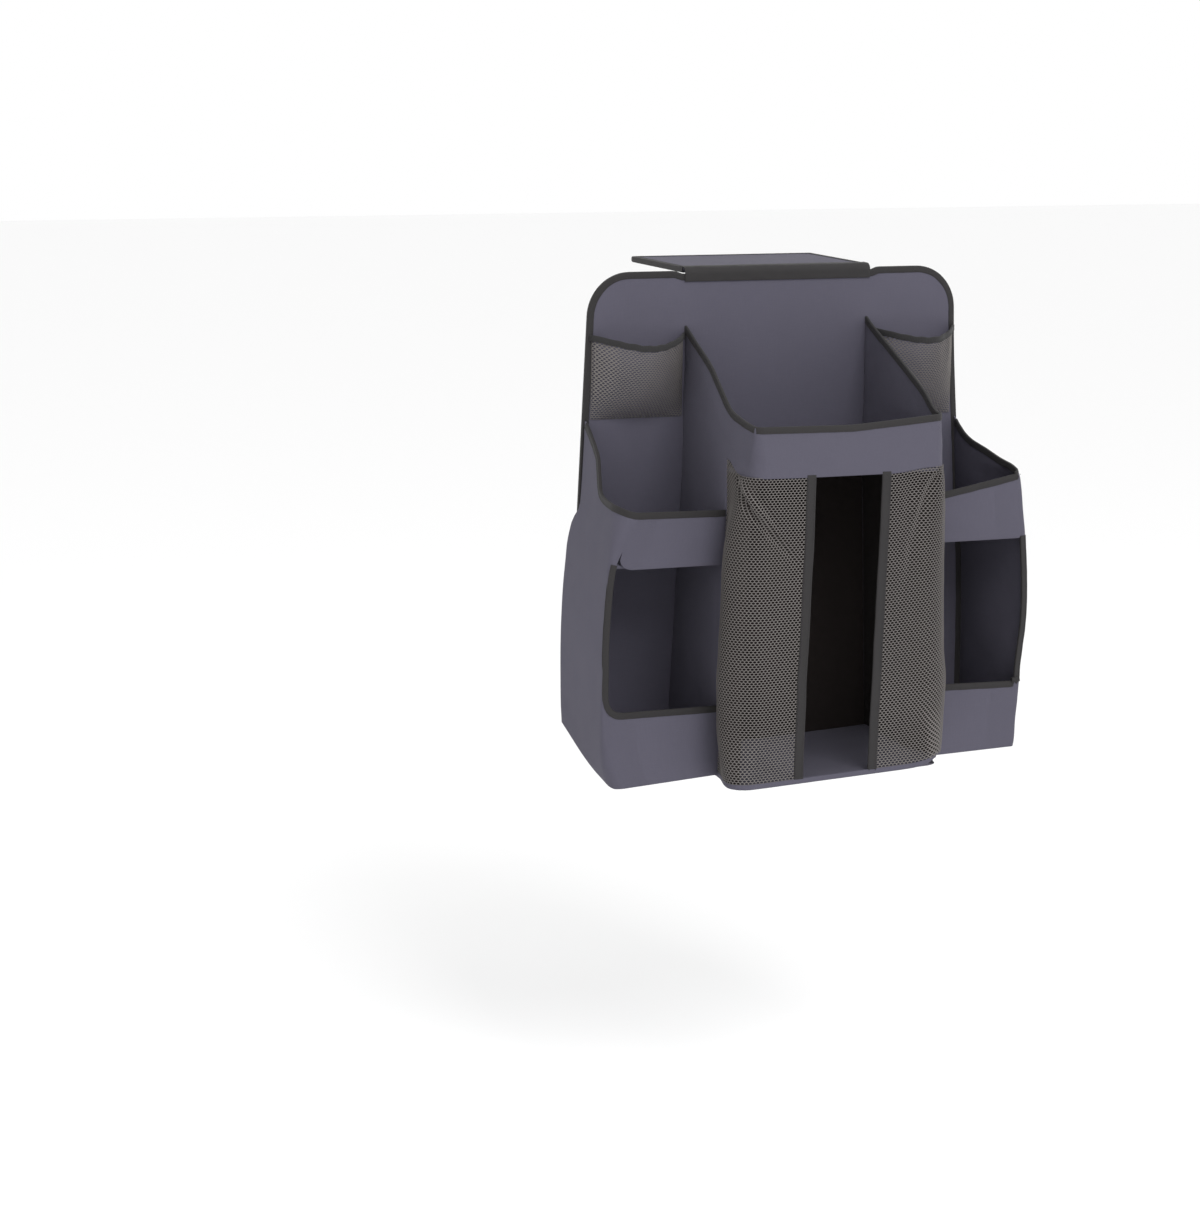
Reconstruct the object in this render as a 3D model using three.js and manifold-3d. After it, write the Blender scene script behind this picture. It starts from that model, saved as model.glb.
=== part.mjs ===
// Hanging diaper organizer: a stiffened back panel with sewn pockets, a wipes shelf, a net diaper
// stacker and open cubbies, hung from a flap that lies over the top of a dresser, table or rail.
// Millimetres, +Z up. The origin is the middle of the fold where the flap meets the back panel:
// X runs to the right seen from the front, Y into the furniture, so the pockets stand towards -Y.
// "Out" is the distance in front of the panel's rear face, so a point's Y is minus its out.
import * as THREE from "three";
import { TessellateModifier } from "three/addons/modifiers/TessellateModifier.js";
import { mergeVertices } from "three/addons/utils/BufferGeometryUtils.js";
import Module from "manifold-3d";

const wasm = await Module();
wasm.setup();

// Layers and clearances
const seamGap = 0.3; // between sewn neighbours, where the stitches pass
const layerGap = 0.1; // between a board and the cloth laid over it
const liningThickness = 0.9;
const panelBoardThickness = 2.5;
const clothThickness = 1;
const wallThickness = 2; // foam-backed cloth
const floorBoardThickness = 3;
const netThickness = 1.2;
const tapeThickness = 0.8;
const tapeClearance = 0.2;
const tapeWidth = 8; // how far binding tape reaches in from the edge that it covers
const tapeLap = 0.6; // where one tape is sewn over the end of another

// Back panel
const panelTopHalfWidth = 232; // at the shoulders, below the rounded corners
const shoulderDrop = 50;
const panelFlare = 0.04; // how much each side spreads for each unit down
const panelCornerRadius = 60;
const earRise = 3; // the outer corners stand above the fold
const earSlopeWidth = 12;
const panelTop = -seamGap;

// Wipes shelf
const shelfHalfWidth = 114;
const shelfDepth = 200;
const shelfSideTop = -57; // where its side walls meet the back panel
const shelfLipTop = -150;
const shelfBottom = -207;
const shelfScoopRun = 160; // out from the panel to where the sides come level with the lip
const shelfScoopDrop = 20; // how far the first handle of the sides' curve drops
const shelfScoopRise = 5; // and how far its second handle stands above the lip

// Diaper stacker
const stackerBottom = -550;
const stackerFlare = 0.041;
const openingHalfWidth = 40;
const openingTapeWidth = 11;

// Side pockets and cubbies
const cubbyDepth = 130;
const pocketBottom = -304;
const cubbyLipHeight = 75;
const cubbyFloorFall = 46; // from the back panel to the front
const sideEdge = {
  left: { back: -160, scoopOut: 100, scoopLow: -250, lipOuter: -250, lipInner: -250 },
  right: { back: -172, scoopOut: 70, scoopLow: -214, lipOuter: -220, lipInner: -246 },
};

// Net pockets
const netPocketTop = -68;
const netPocketBottom = -160;
const netPocketOuterInset = 8;
const netPocketBulge = 45;
const netPocketHem = 4;
const elasticHeight = 7;
const elasticThickness = 2.4;
const elasticSteps = 12;
const netBar = 3;
const netFront = { columns: 3, rows: 15 };
const netPouch = { columns: 5, rows: 4 };
const longestNetEdge = 20; // of a triangle in a net that is drawn out into a pouch
const splitRounds = 8;

// Hanging flap and crib straps
const flapHalfWidth = 116;
const flapLength = 150;
const strapFromMiddle = 185;
const strapTop = -49;
const strapLength = 200;
const strapWidth = 25;
const webbingThickness = 1.5;
const anchorHeight = 24; // the webbing's sewn end, folded once
const anchorThickness = 2.3;
const hookLength = 60;
const hookThickness = 1.3;
const hookInset = 1; // from the webbing's sides
const hookLift = 3; // from the webbing's loose end
const loopLength = 90;
const loopThickness = 1;
const loopLift = 6; // of the loop patch's top above the hook patch's

// Worked out from the values above
const cubbyFrontBottom = stackerBottom;
const cubbyLipTop = cubbyFrontBottom + cubbyLipHeight;
const panelSideBottom = cubbyFrontBottom + cubbyFloorFall;
const tapeStand = tapeThickness + tapeClearance; // how far a tape stands off the cloth under it
const panelLayers = liningThickness + panelBoardThickness + clothThickness + 2 * layerGap;
const panelFace = tapeStand + panelLayers; // the panel's rear face stands off by its binding
const panelFront = panelFace + seamGap;
const clearOfBinding = panelFace + tapeStand + seamGap;
const floorThickness = floorBoardThickness + 2 * (clothThickness + layerGap);
const lean = Math.atan(panelFlare);
const stackerLean = Math.atan(stackerFlare);
const panelHalf = (z) => panelTopHalfWidth + panelFlare * (-shoulderDrop - z);
const stackerHalf = (z) => shelfHalfWidth + stackerFlare * Math.max(0, shelfBottom - z);
const wallFace = (z) => panelHalf(z) + seamGap; // inner face of an outer side wall
const sideSign = { left: -1, right: 1 };

// How curves are drawn
const curveSteps = 8;
const handle = 0.65; // where along a scooped edge its second handle stands, and its first from the end
const handleDrop = 0.25; // how much of a pocket edge's fall its first handle takes

const cloth = (color, roughness = 0.85) => new THREE.MeshStandardMaterial({ color, roughness, metalness: 0 });
const greyCloth = cloth(0x5f5d6c);
const blackCloth = cloth(0x262425);
const blackTape = cloth(0x353436, 0.7);
const netYarn = cloth(0x8d8885, 0.6);
const webbing = cloth(0x2a292b, 0.75);
const hookAndLoop = cloth(0x1d1d1f, 0.95);
const boardPlastic = cloth(0xd8d8d4, 0.5);

const named = (name, geometry, material) => {
  const mesh = new THREE.Mesh(geometry, material);
  mesh.name = name;
  return mesh;
};

const polygon = (points) => new THREE.Shape(points.map(([a, b]) => new THREE.Vector2(a, b)));

const slab = (shape, thickness, curveSegments = 12) =>
  new THREE.ExtrudeGeometry(shape, { depth: thickness, bevelEnabled: false, curveSegments });

// A plate that faces the front: its shape is in x and z, and it grows towards the viewer from out.
function frontPlate(name, shape, out, thickness, material) {
  const mesh = named(name, slab(shape, thickness), material);
  mesh.rotation.x = Math.PI / 2;
  mesh.position.y = -out;
  return mesh;
}

// A plate that faces sideways: its shape is in out and z, and it grows to the left from rightFace.
function sidePlate(name, shape, rightFace, thickness, material) {
  const mesh = named(name, slab(shape, thickness), material);
  mesh.rotation.set(Math.PI / 2, 0, -Math.PI / 2, "ZYX");
  mesh.position.x = rightFace;
  return mesh;
}

// A group that leans outwards as it goes down, about the point at halfWidth and z.
function leaning(side, halfWidth, z, angle, ...children) {
  const group = new THREE.Group();
  group.position.set(sideSign[side] * halfWidth, 0, z);
  group.rotation.y = -sideSign[side] * angle;
  for (const child of children) {
    child.position.z -= z;
    group.add(child);
  }
  return group;
}

// A closed solid from a section carried along stations, each an origin and the section's two axes.
function sweep(section, stations) {
  const positions = stations.flatMap(({ origin, across, away }) =>
    section.flatMap(([a, b]) => origin.clone().addScaledVector(across, a).addScaledVector(away, b).toArray()),
  );
  const size = section.length;
  const faces = [];
  for (let i = 0; i + 1 < stations.length; i++) {
    for (let j = 0; j < size; j++) {
      const near = i * size + j;
      const beside = i * size + ((j + 1) % size);
      faces.push(near, beside, beside + size, near, beside + size, near + size);
    }
  }
  const cap = THREE.ShapeUtils.triangulateShape(section.map(([a, b]) => new THREE.Vector2(a, b)), []);
  const last = (stations.length - 1) * size;
  for (const [a, b, c] of cap) faces.push(a, c, b, last + a, last + b, last + c);
  const geometry = new THREE.BufferGeometry();
  geometry.setAttribute("position", new THREE.Float32BufferAttribute(positions, 3));
  geometry.setIndex(faces);
  return outwards(geometry);
}

// Turns every face of a closed geometry round if its volume comes out negative.
function outwards(geometry) {
  if (signedVolume(geometry) > 0) return geometry;
  const index = geometry.index.array;
  for (let i = 0; i < index.length; i += 3) [index[i + 1], index[i + 2]] = [index[i + 2], index[i + 1]];
  return geometry;
}

function signedVolume(geometry) {
  const { index, attributes } = geometry;
  const corner = (i) => new THREE.Vector3().fromBufferAttribute(attributes.position, index.array[i]);
  let volume = 0;
  for (let i = 0; i < index.count; i += 3) volume += corner(i).dot(corner(i + 1).cross(corner(i + 2)));
  return volume;
}

// Binding tape: a U section folded over the edge of a wall and swept along it. Each leg of the
// path has a normal square to the wall, and the edge lies towards that normal crossed with the leg.
function tapeAlong(points, normals, coveredThickness, width = tapeWidth) {
  const inner = coveredThickness / 2 + tapeClearance;
  const outer = inner + tapeThickness;
  const section = [
    [-outer, -width],
    [-inner, -width],
    [-inner, -tapeThickness],
    [inner, -tapeThickness],
    [inner, -width],
    [outer, -width],
    [outer, 0],
    [-outer, 0],
  ];
  const along = points.slice(1).map((p, i) => p.clone().sub(points[i]).normalize());
  const away = along.map((t, i) => normals[i].clone().cross(t).normalize());
  const mitre = (list, i) => {
    const before = list[Math.max(0, i - 1)];
    const after = list[Math.min(list.length - 1, i)];
    return before.clone().add(after).divideScalar(1 + before.dot(after));
  };
  // Round a corner between two walls the section stands along the line where the walls meet.
  const upright = (i) => {
    const crossing = normals[Math.max(0, i - 1)].clone().cross(normals[Math.min(normals.length - 1, i)]);
    return crossing.length() > 0.1 ? crossing.divideScalar(crossing.dot(away[i - 1])) : mitre(away, i);
  };
  // An end that comes to a wall facing the front is cut flush with it.
  const flush = (v, t) => (t.y ? v.addScaledVector(t, -v.y / t.y) : v);
  const stations = points.map((origin, i) => ({ origin, across: mitre(normals, i), away: upright(i) }));
  for (const [end, leg] of [[0, 0], [-1, -1]]) flush(stations.at(end).away, along.at(leg));
  return sweep(section, stations);
}

const edgeInset = tapeThickness + seamGap; // from the outside of a tape to the edge of the cloth in it

function solid(geometry) {
  const bare = geometry.index ? geometry.toNonIndexed() : geometry.clone();
  for (const attribute of ["normal", "uv"]) bare.deleteAttribute(attribute);
  const merged = mergeVertices(bare, 1e-4);
  return new wasm.Manifold(
    new wasm.Mesh({
      numProp: 3,
      vertProperties: new Float32Array(merged.attributes.position.array),
      triVerts: new Uint32Array(merged.index.array),
    }),
  );
}

function joined(first, second) {
  const made = solid(first).add(solid(second)).getMesh();
  const geometry = new THREE.BufferGeometry();
  geometry.setAttribute("position", new THREE.BufferAttribute(made.vertProperties, 3));
  geometry.setIndex(new THREE.BufferAttribute(made.triVerts, 1));
  return geometry;
}

// The back panel's outline, drawn in from its edge by inset, from bottom right over the top.
function panelOutline(inset) {
  const radius = panelCornerRadius - inset;
  const top = earRise - inset;
  const centreZ = top - radius;
  const edge = (z) => panelHalf(z) - inset / Math.cos(lean);
  const centreX = edge(centreZ + radius * Math.sin(lean)) - radius * Math.cos(lean);
  const corner = new THREE.EllipseCurve(centreX, centreZ, radius, radius, lean, Math.PI / 2);
  const tongueHalf = stackerHalf(stackerBottom) - seamGap - inset;
  const right = [
    new THREE.Vector2(tongueHalf, stackerBottom + inset),
    new THREE.Vector2(tongueHalf, panelSideBottom + inset),
    new THREE.Vector2(edge(panelSideBottom + inset), panelSideBottom + inset),
    ...corner.getPoints(curveSteps),
    new THREE.Vector2(flapHalfWidth + earSlopeWidth, top),
    new THREE.Vector2(flapHalfWidth, panelTop - inset),
  ];
  return [...right, ...right.map((p) => new THREE.Vector2(-p.x, p.y)).reverse()];
}

function backPanel() {
  const plate = (name, out, thickness, material) =>
    frontPlate(name, new THREE.Shape(panelOutline(edgeInset)), out, thickness, material);
  const boardOut = tapeStand + liningThickness + layerGap;
  const clothOut = boardOut + panelBoardThickness + layerGap;
  const outline = panelOutline(0).slice(2, -2); // the sides and the top, not the sewn bottom edges
  const points = outline.map((p) => new THREE.Vector3(p.x, -tapeStand - panelLayers / 2, p.y));
  const facing = new THREE.Vector3(0, 1, 0);
  const binding = tapeAlong(points, points.slice(1).map(() => facing), panelLayers);
  const liningShape = polygon([
    [-stackerHalf(shelfBottom) + wallThickness + seamGap, shelfBottom - seamGap],
    [-stackerHalf(stackerBottom) + wallThickness + seamGap, stackerBottom + floorThickness + seamGap],
    [stackerHalf(stackerBottom) - wallThickness - seamGap, stackerBottom + floorThickness + seamGap],
    [stackerHalf(shelfBottom) - wallThickness - seamGap, shelfBottom - seamGap],
  ]);
  return [
    plate("back_panel_lining", tapeStand, liningThickness, blackCloth),
    plate("back_panel_board", boardOut, panelBoardThickness, boardPlastic),
    plate("back_panel_cloth", clothOut, clothThickness, greyCloth),
    named("back_panel_binding", binding, blackTape),
    frontPlate("stacker_back_cloth", liningShape, panelFace + layerGap, clothThickness, blackCloth),
  ];
}

// A floor: cloth folded round a board at its front edge and left open at the rear, where the
// board goes in. It runs across from x0 to x1, and drops by fall between its rear and front.
function floor(name, x0, x1, outRear, outFront, topRear, fall = 0) {
  const slope = fall / (outFront - outRear);
  const skin = clothThickness;
  const inner = skin + layerGap;
  const at = (out, down) => [out, topRear - slope * (out - outRear) - down];
  const sleeve = polygon([
    at(outRear, 0),
    at(outRear, skin),
    at(outFront - skin, skin),
    at(outFront - skin, floorThickness - skin),
    at(outRear, floorThickness - skin),
    at(outRear, floorThickness),
    at(outFront, floorThickness),
    at(outFront, 0),
  ]);
  const boardFront = outFront - inner;
  const board = polygon([
    at(outRear, inner),
    at(outRear, inner + floorBoardThickness),
    at(boardFront, inner + floorBoardThickness),
    at(boardFront, inner),
  ]);
  return [
    sidePlate(`${name}_cloth`, sleeve, x1, x1 - x0, greyCloth),
    sidePlate(`${name}_board`, board, x1 - layerGap, x1 - x0 - 2 * layerGap, boardPlastic),
  ];
}

const cubicPoints = (a, b, c, d) =>
  new THREE.CubicBezierCurve(...[a, b, c, d].map(([u, v]) => new THREE.Vector2(u, v)))
    .getPoints(curveSteps)
    .map((p) => [p.x, p.y]);

// A line of points in out and z, moved down square to itself; its two ends move straight down.
function lowered(points, distance) {
  const slopes = points.slice(1).map(([out, z], i) => Math.atan2(z - points[i][1], out - points[i][0]));
  return points.map(([out, z], i) => {
    if (i === 0) return [out, z - distance / Math.cos(slopes[0])];
    if (i === slopes.length) return [out, z - distance / Math.cos(slopes.at(-1))];
    const middle = (slopes[i - 1] + slopes[i]) / 2;
    const reach = distance / Math.cos((slopes[i] - slopes[i - 1]) / 2);
    return [out + reach * Math.sin(middle), z - reach * Math.cos(middle)];
  });
}

function wipesShelf() {
  const lipOut = shelfDepth - wallThickness / 2;
  const scoop = cubicPoints(
    [panelFront, shelfSideTop],
    [panelFront + shelfScoopRun * (1 - handle), shelfSideTop - shelfScoopDrop],
    [shelfScoopRun * handle, shelfLipTop + shelfScoopRise],
    [shelfScoopRun, shelfLipTop],
  );
  const sideRear = shelfDepth - wallThickness - seamGap;
  const side = polygon([
    ...lowered(scoop, edgeInset),
    [sideRear, shelfLipTop - edgeInset],
    [sideRear, shelfBottom],
    [panelFront, shelfBottom],
  ]);
  const front = polygon([
    [-shelfHalfWidth, shelfLipTop - edgeInset],
    [-shelfHalfWidth, shelfBottom],
    [shelfHalfWidth, shelfBottom],
    [shelfHalfWidth, shelfLipTop - edgeInset],
  ]);
  const sideMiddle = shelfHalfWidth - wallThickness / 2;
  const legs = [...scoop, [lipOut, shelfLipTop]];
  const leg = (sign) => legs.map(([out, z]) => new THREE.Vector3(sign * sideMiddle, -out, z));
  const points = [...leg(1), ...leg(-1).reverse()];
  const normals = [
    ...legs.slice(1).map(() => new THREE.Vector3(-1, 0, 0)),
    new THREE.Vector3(0, 1, 0),
    ...legs.slice(1).map(() => new THREE.Vector3(1, 0, 0)),
  ];
  const floorHalf = shelfHalfWidth - wallThickness - seamGap;
  return [
    sidePlate("shelf_side_left", side, -shelfHalfWidth + wallThickness, wallThickness, greyCloth),
    sidePlate("shelf_side_right", side, shelfHalfWidth, wallThickness, greyCloth),
    frontPlate("shelf_front", front, shelfDepth - wallThickness, wallThickness, greyCloth),
    named("shelf_binding", tapeAlong(points, normals, wallThickness), blackTape),
    ...floor("shelf_floor", -floorHalf, floorHalf, panelFront, sideRear, shelfBottom + floorThickness),
  ];
}

// A honeycomb of gaps in staggered rows that fills the given width and height round the origin.
// Each gap's points reach two thirds of a row up and down, less the bar between it and the next.
function honeycomb(width, height, { columns, rows }) {
  const across = width / columns;
  const down = height / rows;
  const halfWidth = across / 2 - netBar / 2;
  const halfHeight = (down * 2) / 3 - netBar / Math.sqrt(3);
  const gaps = [];
  for (let row = 0; row < rows; row++) {
    const count = row % 2 ? columns - 1 : columns;
    for (let column = 0; column < count; column++) {
      const x = (column - (count - 1) / 2) * across;
      const z = (row - (rows - 1) / 2) * down;
      gaps.push(
        new THREE.Path(
          [
            [0, halfHeight],
            [-halfWidth, halfHeight / 2],
            [-halfWidth, -halfHeight / 2],
            [0, -halfHeight],
            [halfWidth, -halfHeight / 2],
            [halfWidth, halfHeight / 2],
          ].map(([a, b]) => new THREE.Vector2(x + a, z + b)),
        ),
      );
    }
  }
  return gaps;
}

const moved = (gaps, x, z) =>
  gaps.map((gap) => new THREE.Path(gap.getPoints().map((p) => new THREE.Vector2(p.x + x, p.y + z))));

// Nets and opening tapes of the diaper stacker, which hang from the shelf and stand on its floor.
function stackerSide(side) {
  const sign = sideSign[side];
  const top = shelfBottom - seamGap;
  const bottom = stackerBottom + floorThickness + seamGap;
  const middle = (top + bottom) / 2;
  const netOut = shelfDepth - netThickness - seamGap;
  const netEdge = openingHalfWidth + edgeInset;
  const narrow = stackerHalf(top) - netEdge - 2 * netPocketHem;
  const front = polygon([
    [sign * netEdge, top],
    [sign * netEdge, bottom],
    [sign * stackerHalf(bottom), bottom],
    [sign * stackerHalf(top), top],
  ]);
  const frontMiddle = sign * (netEdge + netPocketHem + narrow / 2);
  const gapHeight = top - bottom - 2 * netPocketHem;
  front.holes = moved(honeycomb(narrow, gapHeight, netFront), frontMiddle, middle);

  const sideRear = cubbyDepth - wallThickness;
  const sideFront = netOut - seamGap;
  const sideNet = polygon([
    [sideRear, top],
    [sideRear, bottom],
    [sideFront, bottom],
    [sideFront, top],
  ]);
  const sideWidth = sideFront - sideRear - 2 * netPocketHem;
  sideNet.holes = moved(honeycomb(sideWidth, gapHeight, netFront), (sideRear + sideFront) / 2, middle);

  const divider = polygon([
    [panelFront, top],
    [panelFront, bottom],
    [sideRear - seamGap, bottom],
    [sideRear - seamGap, top],
  ]);
  const tapeMiddle = netOut + netThickness / 2;
  const ends = [top, bottom].map((z) => new THREE.Vector3(sign * openingHalfWidth, -tapeMiddle, z));
  const openingTape = tapeAlong(ends, [new THREE.Vector3(0, sign, 0)], netThickness, openingTapeWidth);
  const inward = (thickness) => (side === "right" ? 0 : thickness);
  return [
    frontPlate(`stacker_net_front_${side}`, front, netOut, netThickness, netYarn),
    named(`opening_tape_${side}`, openingTape, blackTape),
    leaning(
      side,
      stackerHalf(shelfBottom),
      shelfBottom,
      stackerLean,
      sidePlate(`stacker_net_side_${side}`, sideNet, inward(netThickness), netThickness, netYarn),
      sidePlate(`divider_${side}`, divider, inward(wallThickness), wallThickness, greyCloth),
    ),
  ];
}

function stackerFloor() {
  const half = stackerHalf(stackerBottom);
  const rear = panelFront + clothThickness + layerGap;
  return floor("stacker_floor", -half, half, rear, shelfDepth, stackerBottom + floorThickness);
}

// One side's outer wall, open pocket and cubby.
function sideCompartments(side) {
  const sign = sideSign[side];
  const edge = sideEdge[side];
  const wallFront = cubbyDepth - wallThickness - seamGap;
  const scoop = cubicPoints(
    [clearOfBinding, edge.back],
    [edge.scoopOut * (1 - handle), edge.back - (edge.back - edge.scoopLow) * handleDrop],
    [edge.scoopOut * handle, edge.scoopLow],
    [edge.scoopOut, edge.scoopLow],
  );
  const wall = polygon([
    [0, lowered(scoop, edgeInset)[0][1]],
    ...lowered(scoop, edgeInset),
    [wallFront, edge.lipOuter - edgeInset],
    [wallFront, cubbyFrontBottom],
    [0, panelSideBottom],
  ]);
  const wallRight = side === "right" ? wallThickness : 0;
  const outerWall = leaning(
    side,
    wallFace(-shoulderDrop),
    -shoulderDrop,
    lean,
    sidePlate(`outer_wall_${side}`, wall, wallRight, wallThickness, greyCloth),
  );

  const outerEnd = (z) => sign * (wallFace(z) + wallThickness);
  const innerEnd = (z) => sign * (stackerHalf(z) + seamGap);
  const band = (name, outerTop, innerTop, bottom) =>
    frontPlate(
      name,
      polygon([
        [outerEnd(outerTop), outerTop],
        [outerEnd(bottom), bottom],
        [innerEnd(bottom), bottom],
        [innerEnd(innerTop), innerTop],
      ]),
      cubbyDepth - wallThickness,
      wallThickness,
      greyCloth,
    );

  // Tape over the pocket's edge: along the outer wall, round the corner and along the front.
  const wallNormal = new THREE.Vector3(-Math.cos(lean), 0, -sign * Math.sin(lean));
  const bandMiddle = cubbyDepth - wallThickness / 2;
  const onWall = ([out, z]) => new THREE.Vector3(sign * (wallFace(z) + wallThickness / 2), -out, z);
  const reach = innerEnd(edge.lipInner) + sign * tapeClearance;
  const legs = [...scoop, [bandMiddle, edge.lipOuter]].map(onWall);
  const pocketPoints = [...legs, new THREE.Vector3(reach, -bandMiddle, edge.lipInner)];
  const frontNormal = new THREE.Vector3(0, sign, 0);
  const pocketNormals = [...legs.slice(1).map(() => wallNormal), frontNormal];
  const pocketTape = tapeAlong(pocketPoints, pocketNormals, wallThickness);

  // Tape round the cubby's mouth: down the outer wall's front edge, then along the lip.
  const mouthOut = wallFront + edgeInset;
  const down = [pocketBottom - seamGap, cubbyLipTop - tapeLap].map(
    (z) => new THREE.Vector3(sign * (wallFace(z) + wallThickness / 2), -mouthOut, z),
  );
  const lipEnds = [sign * (wallFace(cubbyLipTop) - seamGap), innerEnd(cubbyLipTop) + sign * tapeClearance];
  const acrossLip = lipEnds.map((x) => new THREE.Vector3(x, -bandMiddle, cubbyLipTop));
  const cubbyTape = joined(
    tapeAlong(down, [wallNormal], wallThickness),
    tapeAlong(acrossLip, [frontNormal], wallThickness),
  );

  const floorBetween = (name, innerX, outerX, top, fall) => {
    const [x0, x1] = [sign * innerX, sign * outerX].sort((a, b) => a - b);
    return floor(name, x0, x1, clearOfBinding, wallFront, top, fall);
  };
  const cubbyFall = panelSideBottom - cubbyFrontBottom;
  return [
    outerWall,
    band(`pocket_front_${side}`, edge.lipOuter - edgeInset, edge.lipInner - edgeInset, pocketBottom),
    band(`cubby_front_${side}`, cubbyLipTop - edgeInset, cubbyLipTop - edgeInset, cubbyFrontBottom),
    named(`pocket_binding_${side}`, pocketTape, blackTape),
    named(`cubby_binding_${side}`, cubbyTape, blackTape),
    ...floorBetween(
      `pocket_floor_${side}`,
      stackerHalf(pocketBottom) + seamGap,
      wallFace(pocketBottom + floorThickness) - seamGap,
      pocketBottom + floorThickness,
      0,
    ),
    ...floorBetween(
      `cubby_floor_${side}`,
      stackerHalf(cubbyFrontBottom) + seamGap,
      wallFace(panelSideBottom + floorThickness) - seamGap,
      panelSideBottom + floorThickness,
      cubbyFall,
    ),
  ];
}

// A net pocket: a flat net drawn out into a pouch, with elastic round its mouth.
function netPocket(side) {
  const sign = sideSign[side];
  const outer = panelHalf(netPocketTop) - netPocketOuterInset - tapeWidth / 2;
  const inner = shelfHalfWidth + seamGap + elasticThickness;
  const width = outer - inner;
  const height = netPocketTop - netPocketBottom;
  const middleX = sign * (inner + width / 2);
  const middleZ = (netPocketTop + netPocketBottom) / 2;
  const pouch = (x, z) => {
    const across = Math.cos((Math.PI * (x - middleX)) / width);
    const depth = (netPocketTop - z) / height;
    return netPocketBulge * Math.max(0, across) * (1 - Math.max(0, depth) ** 3);
  };
  const drawnOut = (mesh, out) => {
    const position = mesh.geometry.attributes.position;
    for (let i = 0; i < position.count; i++) {
      const x = position.getX(i);
      position.setXYZ(i, x, -out - position.getZ(i) - pouch(x, position.getY(i)), position.getY(i));
    }
    return mesh;
  };
  const netTop = netPocketTop - elasticHeight - seamGap;
  const alongTop = Array.from({ length: elasticSteps + 1 }, (_, i) => (i / elasticSteps - 0.5) * width);
  const net = polygon([
    [middleX + width / 2, netPocketBottom],
    [middleX - width / 2, netPocketBottom],
    ...alongTop.map((x) => [middleX + x, netTop]),
  ]);
  const gapTop = netTop - netPocketHem;
  const gapBottom = netPocketBottom + netPocketHem;
  const gapMiddle = (gapTop + gapBottom) / 2;
  net.holes = moved(honeycomb(width - 2 * netPocketHem, gapTop - gapBottom, netPouch), middleX, gapMiddle);
  const split = new TessellateModifier(longestNetEdge, splitRounds);
  const elastic = new THREE.BoxGeometry(width, elasticHeight, elasticThickness, elasticSteps, 1, 1);
  elastic.translate(middleX, netPocketTop - elasticHeight / 2, elasticThickness / 2);
  const netOut = panelFront + (elasticThickness - netThickness) / 2;
  return [
    drawnOut(named(`net_pocket_${side}`, split.modify(slab(net, netThickness)), netYarn), netOut),
    drawnOut(named(`net_pocket_elastic_${side}`, elastic, blackTape), panelFront),
  ];
}

// The flap that lies over the furniture: cloth folded round a board, bound on its three free edges.
function hangingFlap() {
  const clothHalf = flapHalfWidth - edgeInset;
  const rear = flapLength - edgeInset;
  const top = tapeStand + floorThickness;
  const skin = clothThickness;
  const inner = skin + layerGap;
  const front = seamGap;
  // In a side plate out is minus Y, so the flap, which runs backwards, has negative outs.
  const sleeve = polygon([
    [-rear, top],
    [-rear, top - skin],
    [-front - skin, top - skin],
    [-front - skin, tapeStand + skin],
    [-rear, tapeStand + skin],
    [-rear, tapeStand],
    [-front, tapeStand],
    [-front, top],
  ]);
  const board = polygon([
    [-rear, top - inner],
    [-front - inner, top - inner],
    [-front - inner, tapeStand + inner],
    [-rear, tapeStand + inner],
  ]);
  const middle = (top + tapeStand) / 2;
  const corners = [
    [-flapHalfWidth, front],
    [-flapHalfWidth, flapLength],
    [flapHalfWidth, flapLength],
    [flapHalfWidth, front],
  ].map(([x, y]) => new THREE.Vector3(x, y, middle));
  const normals = corners.slice(1).map(() => new THREE.Vector3(0, 0, 1));
  return [
    sidePlate("flap_cloth", sleeve, clothHalf, 2 * clothHalf, greyCloth),
    sidePlate("flap_board", board, clothHalf - layerGap, 2 * (clothHalf - layerGap), boardPlastic),
    named("flap_binding", tapeAlong(corners, normals, floorThickness), blackTape),
  ];
}

// A strap for a rail or a door hook, at rest hanging down behind the panel with its hook patch
// against the loop patch. It swings up and back about its sewn end.
function cribStrap(side) {
  const x = sideSign[side] * strapFromMiddle;
  const box = (name, width, depth, height, y, top, material) => {
    const mesh = named(`${name}_${side}`, new THREE.BoxGeometry(width, depth, height), material);
    mesh.position.set(x, y + depth / 2, top - height / 2);
    return mesh;
  };
  const seat = seamGap - tapeStand; // just behind the lining
  const webbingFront = seat + anchorThickness + seamGap;
  const hookFront = webbingFront - hookThickness;
  const hookTop = strapTop - strapLength + hookLift + hookLength;
  const hookWidth = strapWidth - 2 * hookInset;
  return [
    box("strap_anchor", strapWidth, anchorThickness, anchorHeight, seat, strapTop, webbing),
    box("strap_loop_patch", strapWidth, loopThickness, loopLength, seat, hookTop + loopLift, hookAndLoop),
    box("strap_webbing", strapWidth, webbingThickness, strapLength, webbingFront, strapTop, webbing),
    box("strap_hook_patch", hookWidth, hookThickness, hookLength, hookFront, hookTop, hookAndLoop),
  ];
}

const organizer = new THREE.Group();
organizer.add(...backPanel(), ...wipesShelf(), ...stackerFloor(), ...hangingFlap());
for (const side of ["left", "right"]) {
  organizer.add(...stackerSide(side), ...sideCompartments(side), ...netPocket(side), ...cribStrap(side));
}

export default organizer;
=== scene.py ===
from math import copysign, cos, exp, pi, radians, sin, sqrt, tanh

import bmesh
import bpy
from mathutils import Matrix, Vector, noise


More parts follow.
